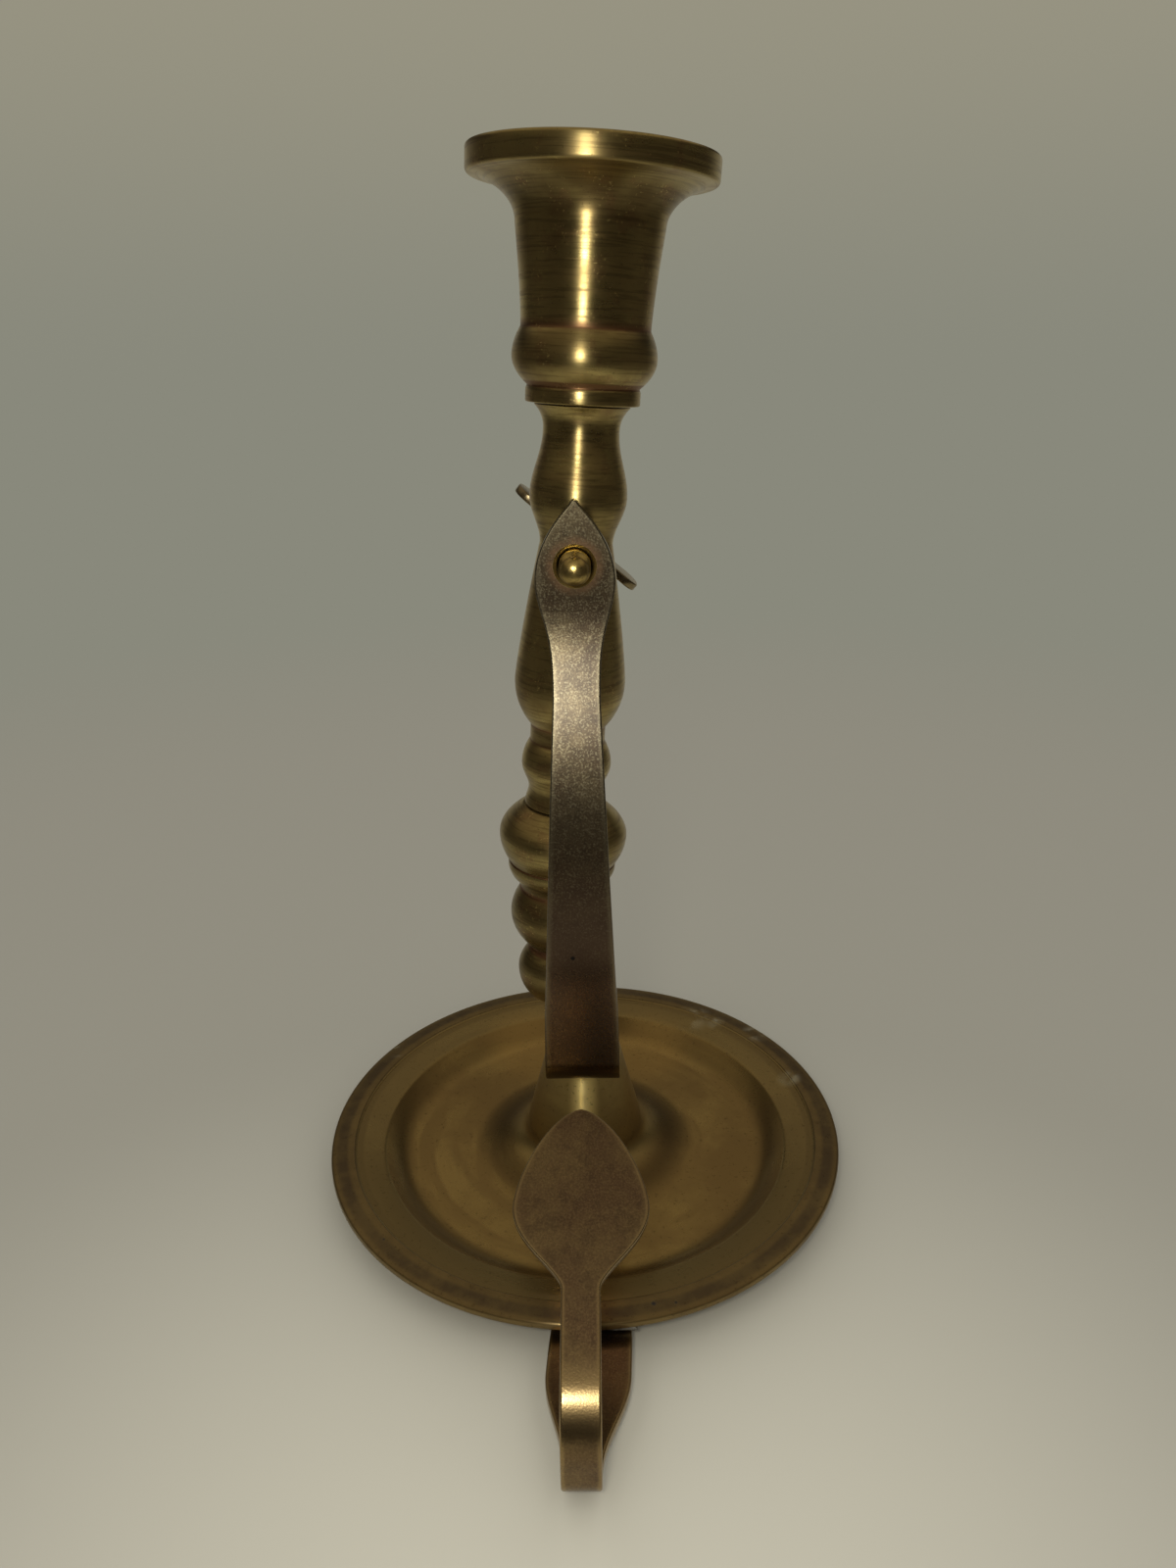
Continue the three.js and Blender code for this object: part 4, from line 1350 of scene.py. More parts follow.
@dataclass
class Handle:
    """The carrying handle: lower leaf, finger loop, strap and spade-shaped thumb rest."""

    thickness: float = 2.4
    width: float = 7.3
    reach: float = HANDLE_REACH
    lower_radius: float = HANDLE_LOWER_RADIUS
    upper_radius: float = 13.0
    front_height: float = 4.4
    slope: float = 27.0
    strap: float = 15.8
    shoulder: float = 14.7
    tip: float = 19.7
    rest_width: float = 26.4
    leaf_width: float = 16.8
    leaf_reach: float = 71.0
    leaf_end: float = 52.3
    leaf_top: float = 4.6
    leaf_tip: float = 1.0
    leaf_squareness: float = 4.0
    shoulder_power: float = 0.75
    rest_power: float = 1.5
    rest_fullness: float = 0.62

    def mesh(self) -> bmesh.types.BMesh:
        """The strip, bent and cut to its outline.

        Returns:
            The mesh, in millimetres.
        """
        middle = self.thickness / 2
        leaf_middle = self.leaf_top - middle
        lower_centre = self.leaf_top - self.thickness + self.lower_radius
        lower_at = self.lower_radius - self.reach
        upper_at = self.upper_radius - self.reach
        upper_centre = lower_centre + self.front_height
        line: list[Point] = [(-self.leaf_end, leaf_middle)]
        line += arc((lower_at, lower_centre), self.lower_radius - middle, -90, -180)
        line += arc((upper_at, upper_centre), self.upper_radius - middle, 180, 90 + self.slope, 24)
        bend_end = line[-1]
        slope = math.radians(self.slope)
        reach = self.strap + self.shoulder + self.tip
        line.append((bend_end[0] + reach * math.cos(slope), bend_end[1] + reach * math.sin(slope)))
        waist = bend_end[0] + self.strap * math.cos(slope)
        widest = waist + self.shoulder * math.cos(slope)
        end = widest + self.tip * math.cos(slope)
        split = lower_centre + self.front_height / 2
        half, wide, leaf = self.width / 2, self.rest_width / 2, self.leaf_width / 2

        def half_width(y: float, z: float, _length: float) -> float:
            """Half the strip's width at a place on its middle line.

            Args:
                y: the place's Y.
                z: the place's Z.
                _length: the length along the line, which isn't needed here.

            Returns:
                Half the width.
            """
            if z < split:
                if y < -self.leaf_reach:
                    t = (y - lower_at) / (-self.leaf_reach - lower_at)
                    return half + (leaf - half) * smooth_share(t)
                t = min(1.0, (y + self.leaf_reach) / (self.leaf_reach - self.leaf_end))
                squared = (1 - t**self.leaf_squareness) ** (1 / self.leaf_squareness)
                return leaf + (self.leaf_tip - leaf) * (1 - squared)
            if y < waist:
                return half
            if y < widest:
                t = ((y - waist) / (widest - waist)) ** self.shoulder_power
                return half + (wide - half) * smooth_share(t)
            t = min(1.0, (y - widest) / (end - widest))
            return wide * max(0.0, 1 - t**self.rest_power) ** self.rest_fullness

        bm = Strip(line, half_width, self.thickness, stations=260).build()
        low = [vert for vert in bm.verts if vert.co.z < split and vert.co.y > lower_at]
        bmesh.ops.transform(bm, matrix=LEAF_SKEW, verts=low)
        return bm

    def build(self) -> None:
        finish = HandleFinish("handle brass").build()
        strip = self.mesh()
        Piece(
            "handle_strip", strip, Body.BASE, ("carrying_handle",), finish, Slot.SATIN, ON_PAN
        ).finish_piece()


@dataclass
class Swivel:
    """The screw that holds the arm on the boss, with its washers and nut."""

    shank: float = 3.175
    hole: float = 3.5
    head: float = 5.5
    head_base: float = 36.6
    head_height: float = 3.2
    tail: float = 18.2
    slot_width: float = 1.2
    slot_depth: float = 1.3
    friction_base: float = 30.5
    spring_base: float = 35.1
    nut_washer_base: float = 25.0
    nut_base: float = 19.7
    nut_flats: float = 11.1
    nut_height: float = 5.0
    thread_depth: float = 0.4
    thread_rise: float = 0.6
    spring_radius: float = 5.4
    friction_radius: float = 8.0
    nut_washer_radius: float = 6.0
    thin: float = 1.0
    thick: float = 1.2

    def screw(self) -> bmesh.types.BMesh:
        """The screw's head and shank.

        Returns:
            The mesh, in millimetres.
        """
        top = self.head_base + self.head_height
        outline = Outline()
        outline.to(0, self.tail).to(self.shank - 0.5, self.tail).to(self.shank - 0.25, self.tail + 0.5)
        height = self.tail + 0.8
        while height < self.nut_base + 0.6:
            outline.to(self.shank - self.thread_depth, height)
            outline.to(self.shank, height + self.thread_rise)
            height += THREAD_PITCH
        outline.to(self.shank, self.head_base)
        outline.to(self.head - 0.1, self.head_base, 0.25)
        outline.to(self.head, self.head_base + 0.4)
        outline.cut(0, top, lambda t: 1 - math.sqrt(max(0.0, 1 - t**2)), 16)
        return spun(outline, segments=72)

    def nut(self) -> bmesh.types.BMesh:
        """The hexagon nut with chamfered corners.

        Returns:
            The mesh, in millimetres.
        """
        bm = rod(self.nut_flats / math.sqrt(3), self.nut_base, self.nut_base + self.nut_height, 6)
        bmesh.ops.bevel(
            bm, geom=bm.edges[:], offset=0.35, segments=2, profile=0.5, affect="EDGES", material=-1
        )
        return bm

    def build(self) -> None:
        bright = TurnedFinish(
            "screw brass", PAN_AXIS, bright=(176, 150, 100), dull=(130, 106, 72), roughness=(0.32, 0.46)
        ).build()
        dull = TurnedFinish(
            "washer brass", PAN_AXIS, bright=(160, 136, 92), dull=(118, 94, 66), roughness=(0.38, 0.5)
        ).build()
        top = self.head_base + self.head_height
        half = self.slot_width / 2
        slot = block(Vector((-7, -half, top - self.slot_depth)), Vector((7, half, top + 1)))
        bore = rod(self.hole, self.nut_base - 1, self.nut_base + self.nut_height + 1)
        split = block(Vector((-0.5, 0, self.spring_base - 1)), Vector((0.5, 7, self.spring_base + 3)))
        spring = washer_mesh(self.spring_radius, self.hole, self.spring_base, self.thick, 0.2)
        upper = washer_mesh(self.friction_radius, self.hole, self.friction_base, self.thin)
        lower = washer_mesh(self.nut_washer_radius, self.hole, self.nut_washer_base, self.thick)
        for name, mesh, node, finish, material_slot, cutters in (
            ("swivel_screw_turned", self.screw(), "swivel_screw", bright, Slot.POLISHED, (slot,)),
            ("hex_nut", self.nut(), "swivel_nut", dull, Slot.SATIN, (bore,)),
            ("split_washer", spring, "spring_washer", dull, Slot.SATIN, (split,)),
            ("flat_washer_upper", upper, "friction_washer", dull, Slot.SATIN, ()),
            ("flat_washer_lower", lower, "nut_washer", dull, Slot.SATIN, ()),
        ):
            Piece(name, mesh, Body.BASE, (node,), finish, material_slot, ON_PAN, cutters).finish_piece()


@dataclass
class GimbalArm:
    """The arm: round-ended foot, bow, tapering shank and pointed leaf."""

    thickness: float = 3.0
    foot_half: float = 8.5
    foot_under: float = 31.8
    foot_reach: float = 20.9
    bend_radius: float = 9.0
    bow: float = 24.4
    bow_drop: float = 66.0
    taper_drop: float = 97.0
    taper_half: float = 8.1
    neck_drop: float = 27.0
    neck_half: float = 4.85
    leaf_half: float = 7.95
    leaf_drop: float = 3.0
    leaf_outer: float = 13.3
    tip_rise: float = 12.6
    tip_share: float = 0.07
    flat_drop: float = 7.0
    pivot_hole: float = 3.5
    countersink: float = 0.8
    swivel_hole: float = 3.5
    bend_start: float = 0.55
    bend_end: float = 0.3
    taper_power: float = 0.9
    leaf_power: float = 1.7
    soften: float = 0.32
    spacer_radius: float = 6.0
    spacer_hole: float = 3.5
    spacer_front: float = -10.0
    spacer_thickness: float = 2.7
    spacer_soften: float = 0.25

    def mesh(self) -> bmesh.types.BMesh:
        """The strip, bent and cut to its outline.

        Returns:
            The mesh, in millimetres.
        """
        middle = self.thickness / 2
        foot_middle = self.foot_under + middle
        bend_at = self.bend_radius - self.foot_reach
        bend_centre = self.foot_under + self.bend_radius
        bow_middle = middle - self.bow
        leaf_middle = middle - self.leaf_outer
        bow_height = PIVOT_HEIGHT - self.bow_drop
        flat_height = PIVOT_HEIGHT - self.flat_drop
        line: list[Point] = [(self.foot_half, foot_middle)]
        line += arc((bend_at, bend_centre), self.bend_radius - middle, -90, -180)
        start = line[-1]
        lift = (start[1] + bow_height) / 2
        lean = (start[0] + bow_middle) / 2
        line += bezier([start, (lean, lift), (bow_middle, lift), (bow_middle, bow_height)])
        bend = flat_height - bow_height
        low, high = bow_height + bend * self.bend_start, flat_height - bend * self.bend_end
        bow_top, leaf_foot = (bow_middle, bow_height), (leaf_middle, flat_height)
        line += bezier([bow_top, (bow_middle, low), (leaf_middle, high), leaf_foot])
        line.append((leaf_middle, PIVOT_HEIGHT + self.tip_rise))
        taper = PIVOT_HEIGHT - self.taper_drop
        neck = PIVOT_HEIGHT - self.neck_drop
        widest = PIVOT_HEIGHT - self.leaf_drop
        tip = PIVOT_HEIGHT + self.tip_rise
        foot_top = self.foot_under + self.thickness

        def half_width(y: float, z: float, _length: float) -> float:
            """Half the strip's width at a place on its middle line.

            Args:
                y: the place's Y.
                z: the place's Z.
                _length: the length along the line, which isn't needed here.

            Returns:
                Half the width.
            """
            if z < foot_top and y > 0:
                return math.sqrt(max(0.0, self.foot_half**2 - y * y))
            if z < foot_top:
                return self.foot_half
            if z < taper:
                t = (z - foot_top) / (taper - foot_top)
                return self.foot_half + (self.taper_half - self.foot_half) * t
            if z < neck:
                t = (z - taper) / (neck - taper)
                return self.taper_half + (self.neck_half - self.taper_half) * t**self.taper_power
            if z < widest:
                t = (z - neck) / (widest - neck)
                share = smooth_share(t**self.leaf_power)
                return self.neck_half + (self.leaf_half - self.neck_half) * share
            t = min(1.0, (z - widest) / (tip - widest))
            if t < 1 - self.tip_share:
                return self.leaf_half * (1 - t**2)
            blunt = 1 - (1 - self.tip_share) ** 2
            return self.leaf_half * blunt * math.sqrt((1 - t) / self.tip_share)

        return Strip(line, half_width, self.thickness, self.soften, stations=300).build()

    def pivot_cutter(self) -> bmesh.types.BMesh:
        """The pivot's hole with its countersunk front edge.

        Returns:
            The mesh, in millimetres.
        """
        face = -self.leaf_outer
        widest = self.pivot_hole + self.countersink
        outline = Outline()
        outline.to(0, face - 2).to(widest, face - 2).to(widest, face)
        outline.cut(self.pivot_hole, face + self.countersink, lambda t: math.sin(t * math.pi / 2), 6)
        outline.to(self.pivot_hole, -8).to(0, -8)
        return turned(spun(outline, segments=96), Matrix.Translation((0, 0, PIVOT_HEIGHT)) @ ALONG_Y)

    def build(self) -> None:
        finish = ArmFinish("arm brass").build()
        swivel = rod(self.swivel_hole, self.foot_under - 2, self.foot_under + 6)
        Piece(
            "arm_strip", self.mesh(), Body.ARM, ("gimbal_arm",), finish, Slot.SATIN, ON_PAN,
            (swivel, self.pivot_cutter()),
        ).finish_piece()
        sizes = (self.spacer_radius, self.spacer_hole, self.spacer_front, self.spacer_thickness)
        spacer = turned(washer_mesh(*sizes, self.spacer_soften), ALONG_Y)
        ring = TurnedFinish(
            "spacer brass", PIVOT, AXIS_ALONG_Y, bright=(168, 142, 94), dull=(128, 102, 70)
        ).build()
        Piece("spacer_ring", spacer, Body.ARM, ("front_spacer",), ring, Slot.SATIN, AT_PIVOT).finish_piece()


@dataclass
class Thumbscrew:
    """The thumbscrew and the washer under its hub."""

    shank: float = 3.175
    front_end: float = -18.3
    dome: float = 2.0
    hub_front: float = 8.8
    flange: float = 5.4
    flange_thickness: float = 1.8
    hub: float = 4.4
    hub_back: float = 18.8
    wing_span: float = 34.6
    wing_depth: float = 8.8
    wing_thickness: float = 1.8
    tongue: float = 4.4
    tongue_width: float = 7.6
    tip_radius: float = 3.4
    turn: float = 40.8
    thread_end: float = -9.6
    thread_root: float = 0.32
    thread_crest: float = 0.85
    wing_dip: Point = (5.0, 1.6)
    wing_soften: float = 0.35
    wing_corner: float = 1.2
    slot_half: float = 1.2
    slot_reach: float = 7.0
    washer_radius: float = 6.0
    washer_hole: float = 3.5
    washer_front: float = 7.3
    washer_thickness: float = 1.2

    def shank_mesh(self) -> bmesh.types.BMesh:
        """The shank with its thread, flange and hub, drawn along +Z from the front.

        Returns:
            The mesh, in millimetres.
        """
        outline = Outline()
        outline.to(0, self.front_end - self.dome)
        end = self.shank - THREAD_DEPTH
        outline.cut(end, self.front_end, dome_share, 12)
        outline.to(end, self.front_end + 0.5)
        height = self.front_end + 0.7
        while height < self.thread_end:
            outline.to(end, height + self.thread_root).to(self.shank, height + self.thread_crest)
            height += THREAD_PITCH
        outline.to(self.shank, self.hub_front)
        outline.to(self.flange, self.hub_front, 0.25)
        outline.to(self.flange, self.hub_front + self.flange_thickness, 0.35)
        outline.to(self.hub, self.hub_front + self.flange_thickness + 0.6, 0.25)
        outline.to(self.hub, self.hub_back, 0.4)
        outline.to(0, self.hub_back)
        return spun(outline, segments=96)

    def wing_mesh(self) -> bmesh.types.BMesh:
        """The wing: a plate with round ends and a tongue.

        Returns:
            The mesh, in millimetres.
        """
        half, r = self.wing_span / 2, self.tip_radius
        front = self.hub_back + SEAT_GAP
        back = front + self.wing_depth
        tongue = self.tongue_width / 2
        points: list[Point] = [(-tongue, self.hub_back - self.tongue), (tongue, self.hub_back - self.tongue)]
        points.append((tongue, front))
        points += arc((half - r, front + r), r, -90, 0, 10)
        points += arc((half - r, back - r), r, 0, 90, 10)
        across, dip = self.wing_dip
        low = back - dip
        points += bezier([(half - r, back), (across, low), (-across, low), (r - half, back)], 16)
        points += arc((r - half, back - r), r, 90, 180, 10)[1:]
        points += arc((r - half, front + r), r, 180, 270, 10)
        points.append((-tongue, front))
        bm = bmesh.new()
        verts = [bm.verts.new((x, y, -self.wing_thickness / 2)) for x, y in points]
        face = bm.faces.new(verts)
        made = bmesh.ops.extrude_face_region(bm, geom=[face])
        moved = [item for item in made["geom"] if isinstance(item, bmesh.types.BMVert)]
        bmesh.ops.translate(bm, verts=moved, vec=(0, 0, self.wing_thickness))
        bmesh.ops.remove_doubles(bm, verts=bm.verts, dist=1e-3)
        sharp = [edge for edge in bm.edges if edge.calc_face_angle(0) > self.wing_corner]
        rim = [edge for edge in sharp if abs(edge.verts[0].co.z - edge.verts[1].co.z) < 1e-6]
        bmesh.ops.bevel(
            bm, geom=rim, offset=self.wing_soften, segments=3, profile=0.5, affect="EDGES", material=-1
        )
        return bm

    def build(self) -> None:
        place = AT_PIVOT @ Matrix.Rotation(math.radians(self.turn), 4, "Y")
        bright = TurnedFinish(
            "pivot brass", PIVOT, AXIS_ALONG_Y, bright=(196, 172, 104), dull=(150, 124, 78), stretch=0.3
        ).build()
        satin = StripFinish("wing brass", base=(140, 122, 84), brown=(110, 92, 64)).build()
        low = Vector((-self.slot_reach, -self.slot_half, self.hub_back - self.tongue - SEAT_GAP))
        high = Vector((self.slot_reach, self.slot_half, self.hub_back + 2))
        slot_cut = turned(block(low, high), ALONG_Y)
        shank = turned(self.shank_mesh(), ALONG_Y)
        Piece(
            "pivot_screw", shank, Body.THUMBSCREW, ("thumbscrew_shank",), bright, Slot.POLISHED,
            place, (slot_cut,),
        ).finish_piece()
        Piece(
            "wing_plate", self.wing_mesh(), Body.THUMBSCREW, ("thumbscrew_wing",), satin, Slot.SATIN, place
        ).finish_piece()
        sizes = (self.washer_radius, self.washer_hole, self.washer_front, self.washer_thickness)
        washer = turned(washer_mesh(*sizes), ALONG_Y)
        Piece(
            "thrust_washer", washer, Body.WASHER, ("back_washer",), satin, Slot.SATIN, AT_PIVOT
        ).finish_piece()


@dataclass
class Candlestick:
    """The turned candlestick: cup, stem and bob, with the screw and stud that join them."""

    stem_top: float = 29.2
    stem_top_radius: float = 9.6
    stem_neck: Point = (7.6, 24.4)
    stem_knob: Point = (9.9, 11.8)
    stem_waist: Point = (7.5, 2.6)
    stem_bulge: Point = (11.85, -26.2)
    stem_step: Point = (8.15, -36.4)
    stem_groove: Point = (8.15, -40.0)
    stem_bead: Point = (9.85, -45.4)
    stem_hollow: Point = (8.15, -51.2)
    stem_foot: float = -55.0
    stem_foot_radius: float = 8.9
    cup_height: float = 43.2
    cup_rim: float = 23.4
    cup_rim_height: float = 4.5
    cup_barrel: Point = (14.1, 31.2)
    cup_bead_top: Point = (12.55, 13.6)
    cup_bead: Point = (14.15, 8.4)
    cup_neck: Point = (11.0, 3.1)
    cup_collar: Point = (11.3, 2.6)
    cup_floor: float = 13.4
    socket: float = 11.0
    mouth: Point = (12.4, 1.4)
    mouth_drop: float = 4.8
    screw_recess: float = 5.25
    screw_seat: float = 10.2
    screw_head: float = 2.6
    screw_head_radius: float = 4.6
    screw_radius: float = 2.45
    screw_end: float = -15.3
    screw_hole: Point = (2.8, 13.7)
    bob_length: float = 51.2
    finial: Point = (9.15, -41.7)
    finial_neck: Point = (6.3, -35.9)
    low_bead: Point = (11.3, -26.9)
    ring_neck: Point = (9.15, -20.6)
    ring_foot: Point = (11.4, -17.0)
    ring_low: Point = (12.2, -15.3)
    ring_high: Point = (12.2, -13.6)
    bead_foot: Point = (12.0, -13.5)
    big_bead: Point = (14.35, -6.9)
    bob_top: float = 9.2
    stud: float = 2.9
    stud_ends: Point = (-12.5, 12.8)
    stud_hole: Point = (3.2, 13.0)
    hole: float = 3.5
    spot: float = 6.65
    flat_reach: float = 7.0
    # Dark bands along the axis from the pivot: painted shade under the cup's rim, a darker band over the top
    # of the cup's bead, and a broad darker band over the bob.
    dim_bands: tuple[Band, ...] = (Band(64.9, 3.6, 0.55), Band(41.0, 2.5, 0.35), Band(-88.0, 46.0, 0.55))

    def stem_mesh(self) -> bmesh.types.BMesh:
        """The stem, measured from the pivot.

        Returns:
            The mesh, in millimetres.
        """
        outline = Outline()
        stud_hole, stud_depth = self.stud_hole
        stud_end = self.stem_foot + stud_depth
        outline.to(0, stud_end).to(stud_hole, stud_end).to(stud_hole, self.stem_foot)
        outline.to(self.stem_foot_radius, self.stem_foot, 0.3)
        outline.sweep(*self.stem_hollow).sweep(*self.stem_bead).edge(*self.stem_groove, soften=0.25)
        outline.to(*self.stem_step, 0.25).crest(*self.stem_bulge, 2.3).edge(*self.stem_waist, 1.2)
        outline.sweep(*self.stem_knob).sweep(*self.stem_neck)
        outline.edge(self.stem_top_radius, self.stem_top, 2.5, soften=0.2)
        screw_hole, screw_end = self.screw_hole
        outline.to(screw_hole, self.stem_top).to(screw_hole, screw_end).to(0, screw_end)
        return spun(outline, segments=176)

    def cup_mesh(self) -> bmesh.types.BMesh:
        """The candle cup, measured up from its bottom face.

        Returns:
            The mesh, in millimetres.
        """
        rim_under = self.cup_height - self.cup_rim_height
        mouth = self.cup_height - self.mouth_drop
        mouth_radius, mouth_rise = self.mouth
        screw_hole, _ = self.screw_hole
        collar, _ = self.cup_collar
        outline = Outline()
        outline.to(screw_hole, 0).to(collar, 0, 0.3).to(*self.cup_collar, 0.3).to(*self.cup_neck, 0.15)
        outline.crest(*self.cup_bead).edge(*self.cup_bead_top, 1.9, soften=0.15)
        outline.cut(*self.cup_barrel, lambda t: t**1.4, 14)
        outline.cut(self.cup_rim - 0.3, rim_under, lambda t: 1 - (1 - t**2) ** 0.6, 24, soften=0.3)
        outline.to(self.cup_rim, rim_under + 0.5, 0.3)
        outline.to(self.cup_rim, self.cup_height, 0.55)
        outline.to(self.cup_rim - 1.8, self.cup_height, 0.4)
        outline.to(self.cup_rim - 2.6, self.cup_height - 0.8, 0.4)
        outline.to(mouth_radius, mouth + mouth_rise, 0.6).to(self.socket, mouth, 0.5)
        outline.to(self.socket, self.cup_floor, 0.4).to(self.screw_recess, self.cup_floor, 0.15)
        outline.to(self.screw_recess, self.screw_seat).to(screw_hole, self.screw_seat)
        return spun(outline, closed=True, segments=192)

    def bob_mesh(self) -> bmesh.types.BMesh:
        """The bob, measured down from its top face.

        Returns:
            The mesh, in millimetres.
        """
        outline = Outline()
        outline.to(0, -self.bob_length)
        outline.cut(*self.finial, dome_share, 18).edge(*self.finial_neck, soften=0.2)
        outline.crest(*self.low_bead).edge(*self.ring_neck, soften=0.2)
        outline.edge(*self.ring_foot, 1.5, soften=0.2).to(*self.ring_low, 0.5).to(*self.ring_high, 0.3)
        outline.to(*self.bead_foot, 0.1).crest(*self.big_bead).edge(self.bob_top, 0, soften=0.25)
        stud_hole, stud_depth = self.stud_hole
        outline.to(stud_hole, 0).to(stud_hole, -stud_depth).to(0, -stud_depth)
        return spun(outline, segments=176)

    def screw_mesh(self) -> bmesh.types.BMesh:
        """The slotted screw in the socket's floor, measured from the cup's bottom face.

        Returns:
            The mesh, in millimetres.
        """
        base = self.screw_seat + SEAT_GAP
        top = base + self.screw_head
        outline = Outline()
        outline.to(0, self.screw_end).to(self.screw_radius, self.screw_end, 0.3)
        outline.to(self.screw_radius, base).to(self.screw_head_radius, base, 0.2)
        outline.to(self.screw_head_radius, top - 0.6, 0.3)
        outline.to(self.screw_head_radius - 0.8, top, 0.3).to(0, top)
        return spun(outline, segments=72)

    def build(self) -> None:
        brass = TurnedFinish("candlestick brass", PIVOT, AXIS_LEANING, bands=self.dim_bands).build()
        plain = TurnedFinish(
            "cup screw brass", PIVOT, AXIS_LEANING, bright=(156, 132, 88), dull=(112, 90, 62)
        ).build()
        bore = turned(rod(self.hole, -30, 30), ALONG_Y)
        front = turned(rod(self.spot, -30, -self.flat_reach, 128), ALONG_Y)
        back = turned(rod(self.spot, self.flat_reach, 30, 128), ALONG_Y)
        top = self.screw_seat + SEAT_GAP + self.screw_head
        slot = block(Vector((-6, -0.6, top - 1.3)), Vector((6, 0.6, top + 1.0)))
        cup_place = LEANING @ Matrix.Translation((0, 0, self.stem_top + SEAT_GAP))
        bob_place = LEANING @ Matrix.Translation((0, 0, self.stem_foot - SEAT_GAP))
        stud = threaded(self.stud, *self.stud_ends)
        for name, mesh, node, finish, material_slot, place, cutters in (
            ("stem_turned", self.stem_mesh(), "stem", brass, Slot.POLISHED, LEANING, (bore, front, back)),
            ("cup_turned", self.cup_mesh(), "candle_cup", brass, Slot.POLISHED, cup_place, ()),
            ("cup_screw_turned", self.screw_mesh(), "cup_screw", plain, Slot.SATIN, cup_place, (slot,)),
            ("bob_turned", self.bob_mesh(), "bob", brass, Slot.POLISHED, bob_place, ()),
            ("stud_threaded", stud, "bob_stud", plain, Slot.SATIN, bob_place, ()),
        ):
            body = Body.CANDLESTICK
            Piece(name, mesh, body, (node,), finish, material_slot, place, cutters).finish_piece()


# Studio

STRAIGHT_UP = 1e-3


@dataclass(frozen=True)
class Surroundings:
    """What stands round the object: a pale backdrop to look at, dim in front as seen by metal."""

    horizon: Shade = (137, 137, 124)
    above: Shade = (152, 148, 130)
    front: Shade = (44, 38, 33)
    side: Shade = (62, 57, 50)
    behind: Shade = (150, 146, 130)
    gap: Shade = (48, 44, 38)
    overhead: Shade = (148, 138, 120)
    level: float = 0.8
    sky: Layer = Layer(-0.02, 0.3)
    beside: Layer = Layer(-0.6, 0.0)
    beyond: Layer = Layer(0.45, 1.0)
    low_dark: Layer = Layer(0.18, 0.3)
    high_pale: Layer = Layer(0.4, 0.62)

    def seen(self, wiring: Wiring, direction: Socket) -> Socket:
        """The colour of the pale backdrop in the ray's direction."""
        height = wiring.split(direction)[2]
        return wiring.paint(rgb(*self.horizon), wiring.layer(height, self.sky), self.above)

    def reflected(self, wiring: Wiring, direction: Socket) -> Socket:
        """What polished metal shows: pale behind and above, dim between them, in front and beside.

        Args:
            wiring: the tree to build in.
            direction: direction of the ray.

        Returns:
            Its colour.
        """
        x, y, z = wiring.split(direction)
        flat = wiring.vector("LENGTH", wiring.join(x, y, 0.0))
        backward = wiring.math("DIVIDE", y, wiring.math("MAXIMUM", flat, STRAIGHT_UP))
        around = wiring.paint(rgb(*self.front), wiring.layer(backward, self.beside), self.side)
        around = wiring.paint(around, wiring.layer(backward, self.beyond), self.behind)
        around = wiring.paint(around, wiring.layer(z, self.low_dark), self.gap)
        return wiring.paint(around, wiring.layer(z, self.high_pale), self.overhead)

    def world(self) -> bpy.types.World:
        """The world: an even soft light that shows as the surroundings.

        Returns:
            The world.
        """
        world = bpy.data.worlds.new("studio")
        world.use_nodes = True
        wiring = Wiring(world.node_tree)
        direction = wiring.add("ShaderNodeTexCoord").outputs["Generated"]
        even = (self.level, self.level, self.level, 1.0)
        colour = wiring.mix(wiring.reflective_ray(), even, self.reflected(wiring, direction))
        colour = wiring.mix(wiring.camera_ray(), colour, self.seen(wiring, direction))
        light = wiring.add("ShaderNodeBackground", colour)
        wiring.add("ShaderNodeOutputWorld", light.outputs[0])
        return world


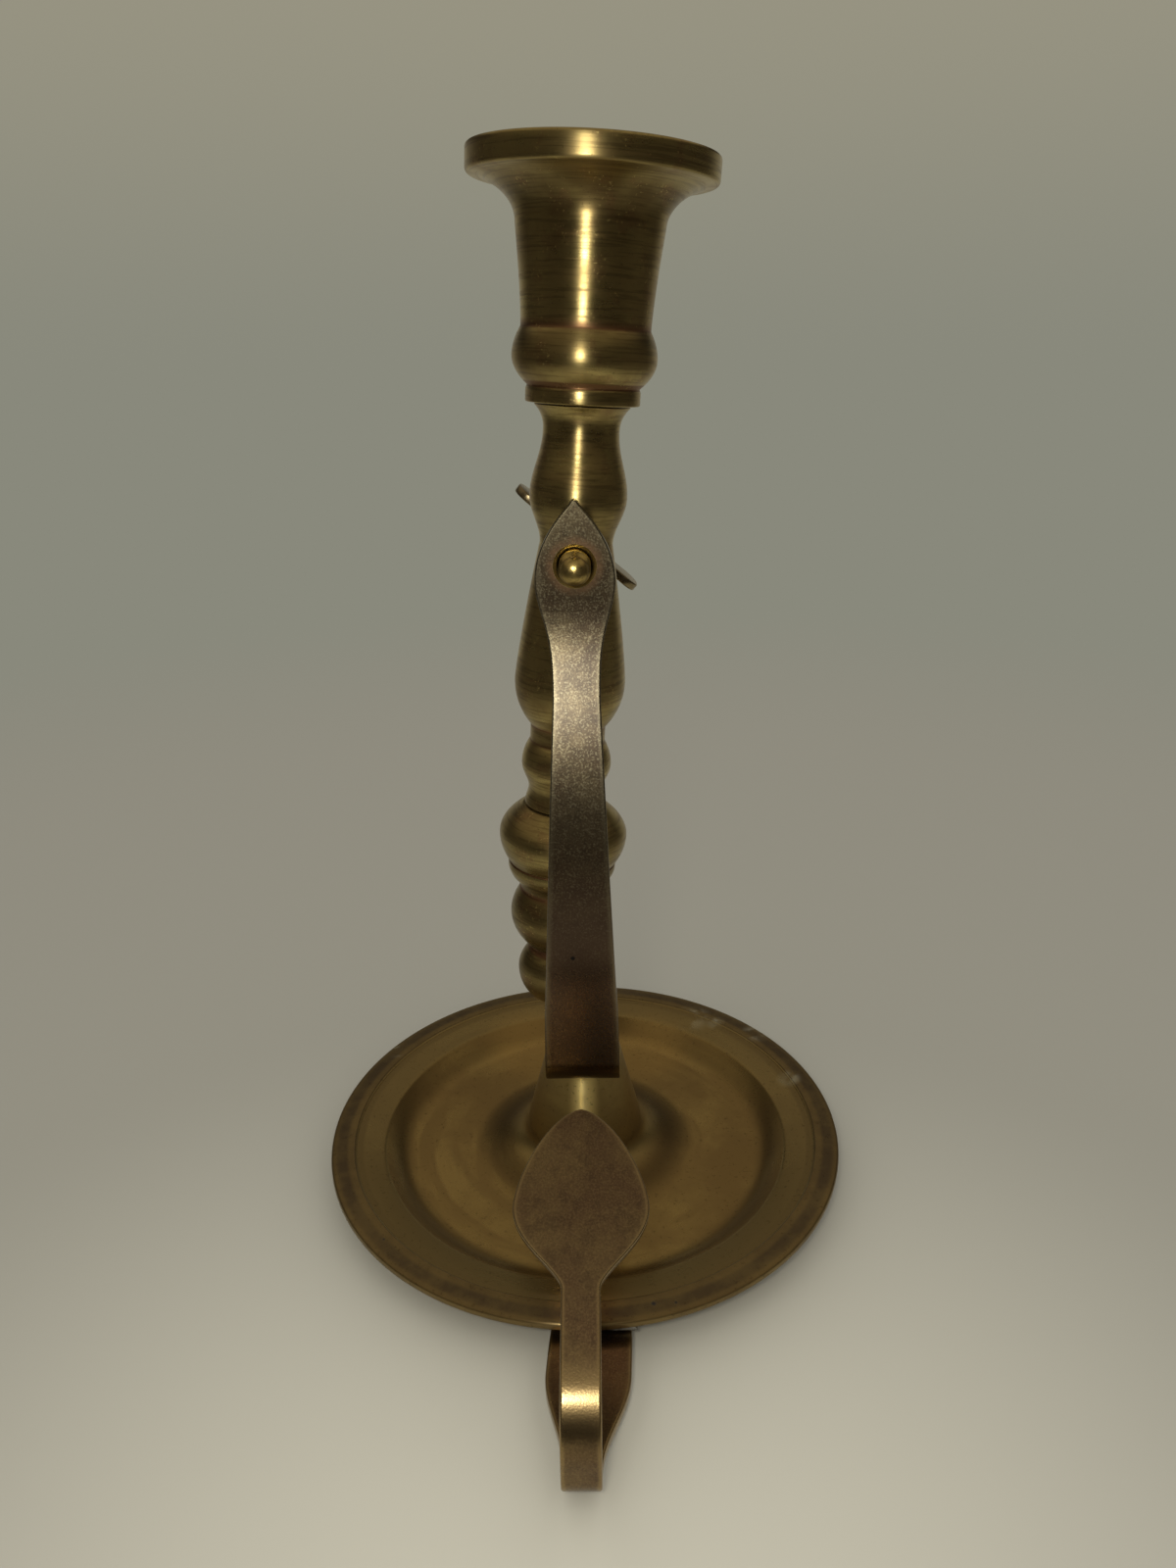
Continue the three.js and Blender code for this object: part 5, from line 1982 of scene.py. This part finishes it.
@dataclass
class Studio:
    """The floor, the lamps, the world and the camera."""

    # The floor's colour is painted paler near the front, a painted pool of the lamp's light, and darker
    # further back.
    floor_painted_light: Shade = (199, 194, 175)
    floor_far: Shade = (158, 154, 139)
    floor_front: float = -0.11
    floor_change: Point = (0.02, 0.2)
    floor_radius: float = 6.0
    fade_seen: Point = (0.3, 0.7)
    fade_reflected: Point = (0.2, 0.42)
    reflected_centre: float = 0.14
    camera_place: Vector = field(default_factory=lambda: Vector((3.846, -209.91, 188.472)))
    pitch: float = 21.43
    yaw: float = 0.489
    roll: float = -0.758
    lens: float = 24.975
    lamp_place: Vector = field(default_factory=lambda: Vector((-0.022, -0.215, 0.208)))
    lamp_aim: Vector = field(default_factory=lambda: Vector((0.0, 0.016, 0.12)))
    lamp_colour: Shade = (1.0, 0.97, 0.9)
    lamp_size: float = 0.034
    lamp_power: float = 0.17
    floor_rough: float = 0.7
    floor_shine: float = 0.2
    sensor: float = 36.0
    nearest: float = 0.01
    surroundings: Surroundings = field(default_factory=Surroundings)

    def camera(self) -> None:
        """The camera, where the photograph was taken from."""
        data = bpy.data.cameras.new("camera")
        data.lens = self.lens
        data.sensor_width = self.sensor
        data.clip_start = self.nearest
        made = bpy.data.objects.new("camera", data)
        turn = (
            Matrix.Rotation(math.radians(self.yaw), 4, "Z")
            @ Matrix.Rotation(math.radians(90 - self.pitch), 4, "X")
            @ Matrix.Rotation(math.radians(self.roll), 4, "Z")
        )
        made.matrix_world = Matrix.Translation(self.camera_place * MM) @ turn
        bpy.context.scene.collection.objects.link(made)
        bpy.context.scene.camera = made

    def lamp(self) -> None:
        """The round lamp beside the camera."""
        data = bpy.data.lights.new("flash", "AREA")
        data.shape = "DISK"
        data.size = self.lamp_size
        data.energy = self.lamp_power
        data.color = self.lamp_colour
        made = bpy.data.objects.new("flash", data)
        made.location = self.lamp_place
        made.rotation_euler = (self.lamp_aim - self.lamp_place).to_track_quat("-Z", "Y").to_euler()
        bpy.context.scene.collection.objects.link(made)

    def floor(self) -> None:
        """The pale floor, lit round the object, painted paler towards the front as a pool of the lamp's
        light, and fading into the backdrop further out.
        """
        bm = bmesh.new()
        bmesh.ops.create_circle(bm, cap_ends=True, segments=96, radius=self.floor_radius)
        mesh = bpy.data.meshes.new("floor")
        bm.to_mesh(mesh)
        bm.free()
        made = bpy.data.objects.new("floor", mesh)
        bpy.context.scene.collection.objects.link(made)
        graph = Graph("pale floor")
        graph.set("Roughness", self.floor_rough)
        graph.set("Specular IOR Level", self.floor_shine)
        point = graph.object_point()
        # A painted pool of light: paler near the front, darker further back.
        ahead = graph.vector("DISTANCE", point, (0.0, self.floor_front, 0.0))
        share = graph.span(ahead, *self.floor_change)
        graph.set("Base Color", graph.paint(rgb(*self.floor_painted_light), share, self.floor_far))
        away = graph.vector("LENGTH", point)
        behind = graph.vector("DISTANCE", point, (0.0, self.reflected_centre, 0.0))
        camera = graph.camera_ray()
        reflective = graph.reflective_ray()
        seen = graph.times(camera, graph.span(away, *self.fade_seen))
        shown = graph.times(reflective, graph.span(behind, *self.fade_reflected))
        reflected = self.surroundings.reflected(graph, point)
        glow = graph.add("ShaderNodeEmission", graph.paint(reflected, camera, self.surroundings.horizon))
        parts = (graph.most(seen, shown), graph.shader.outputs[0], glow.outputs[0])
        blend = graph.add("ShaderNodeMixShader", *parts)
        graph.feed(graph.output.inputs["Surface"], blend.outputs[0])
        mesh.materials.append(graph.material)

    def build(self) -> None:
        """Builds the studio."""
        self.camera()
        self.floor()
        bpy.context.scene.world = self.surroundings.world()
        self.lamp()
        bpy.context.scene.view_settings.view_transform = "Standard"


def main() -> None:
    """Builds every sub-assembly and the studio."""
    logging.basicConfig(level=logging.INFO, format="%(message)s")
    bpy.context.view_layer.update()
    DripPan().build()
    Handle().build()
    Swivel().build()
    GimbalArm().build()
    Thumbscrew().build()
    Candlestick().build()
    Studio().build()
    bpy.context.view_layer.update()


if __name__ == "__main__":
    main()
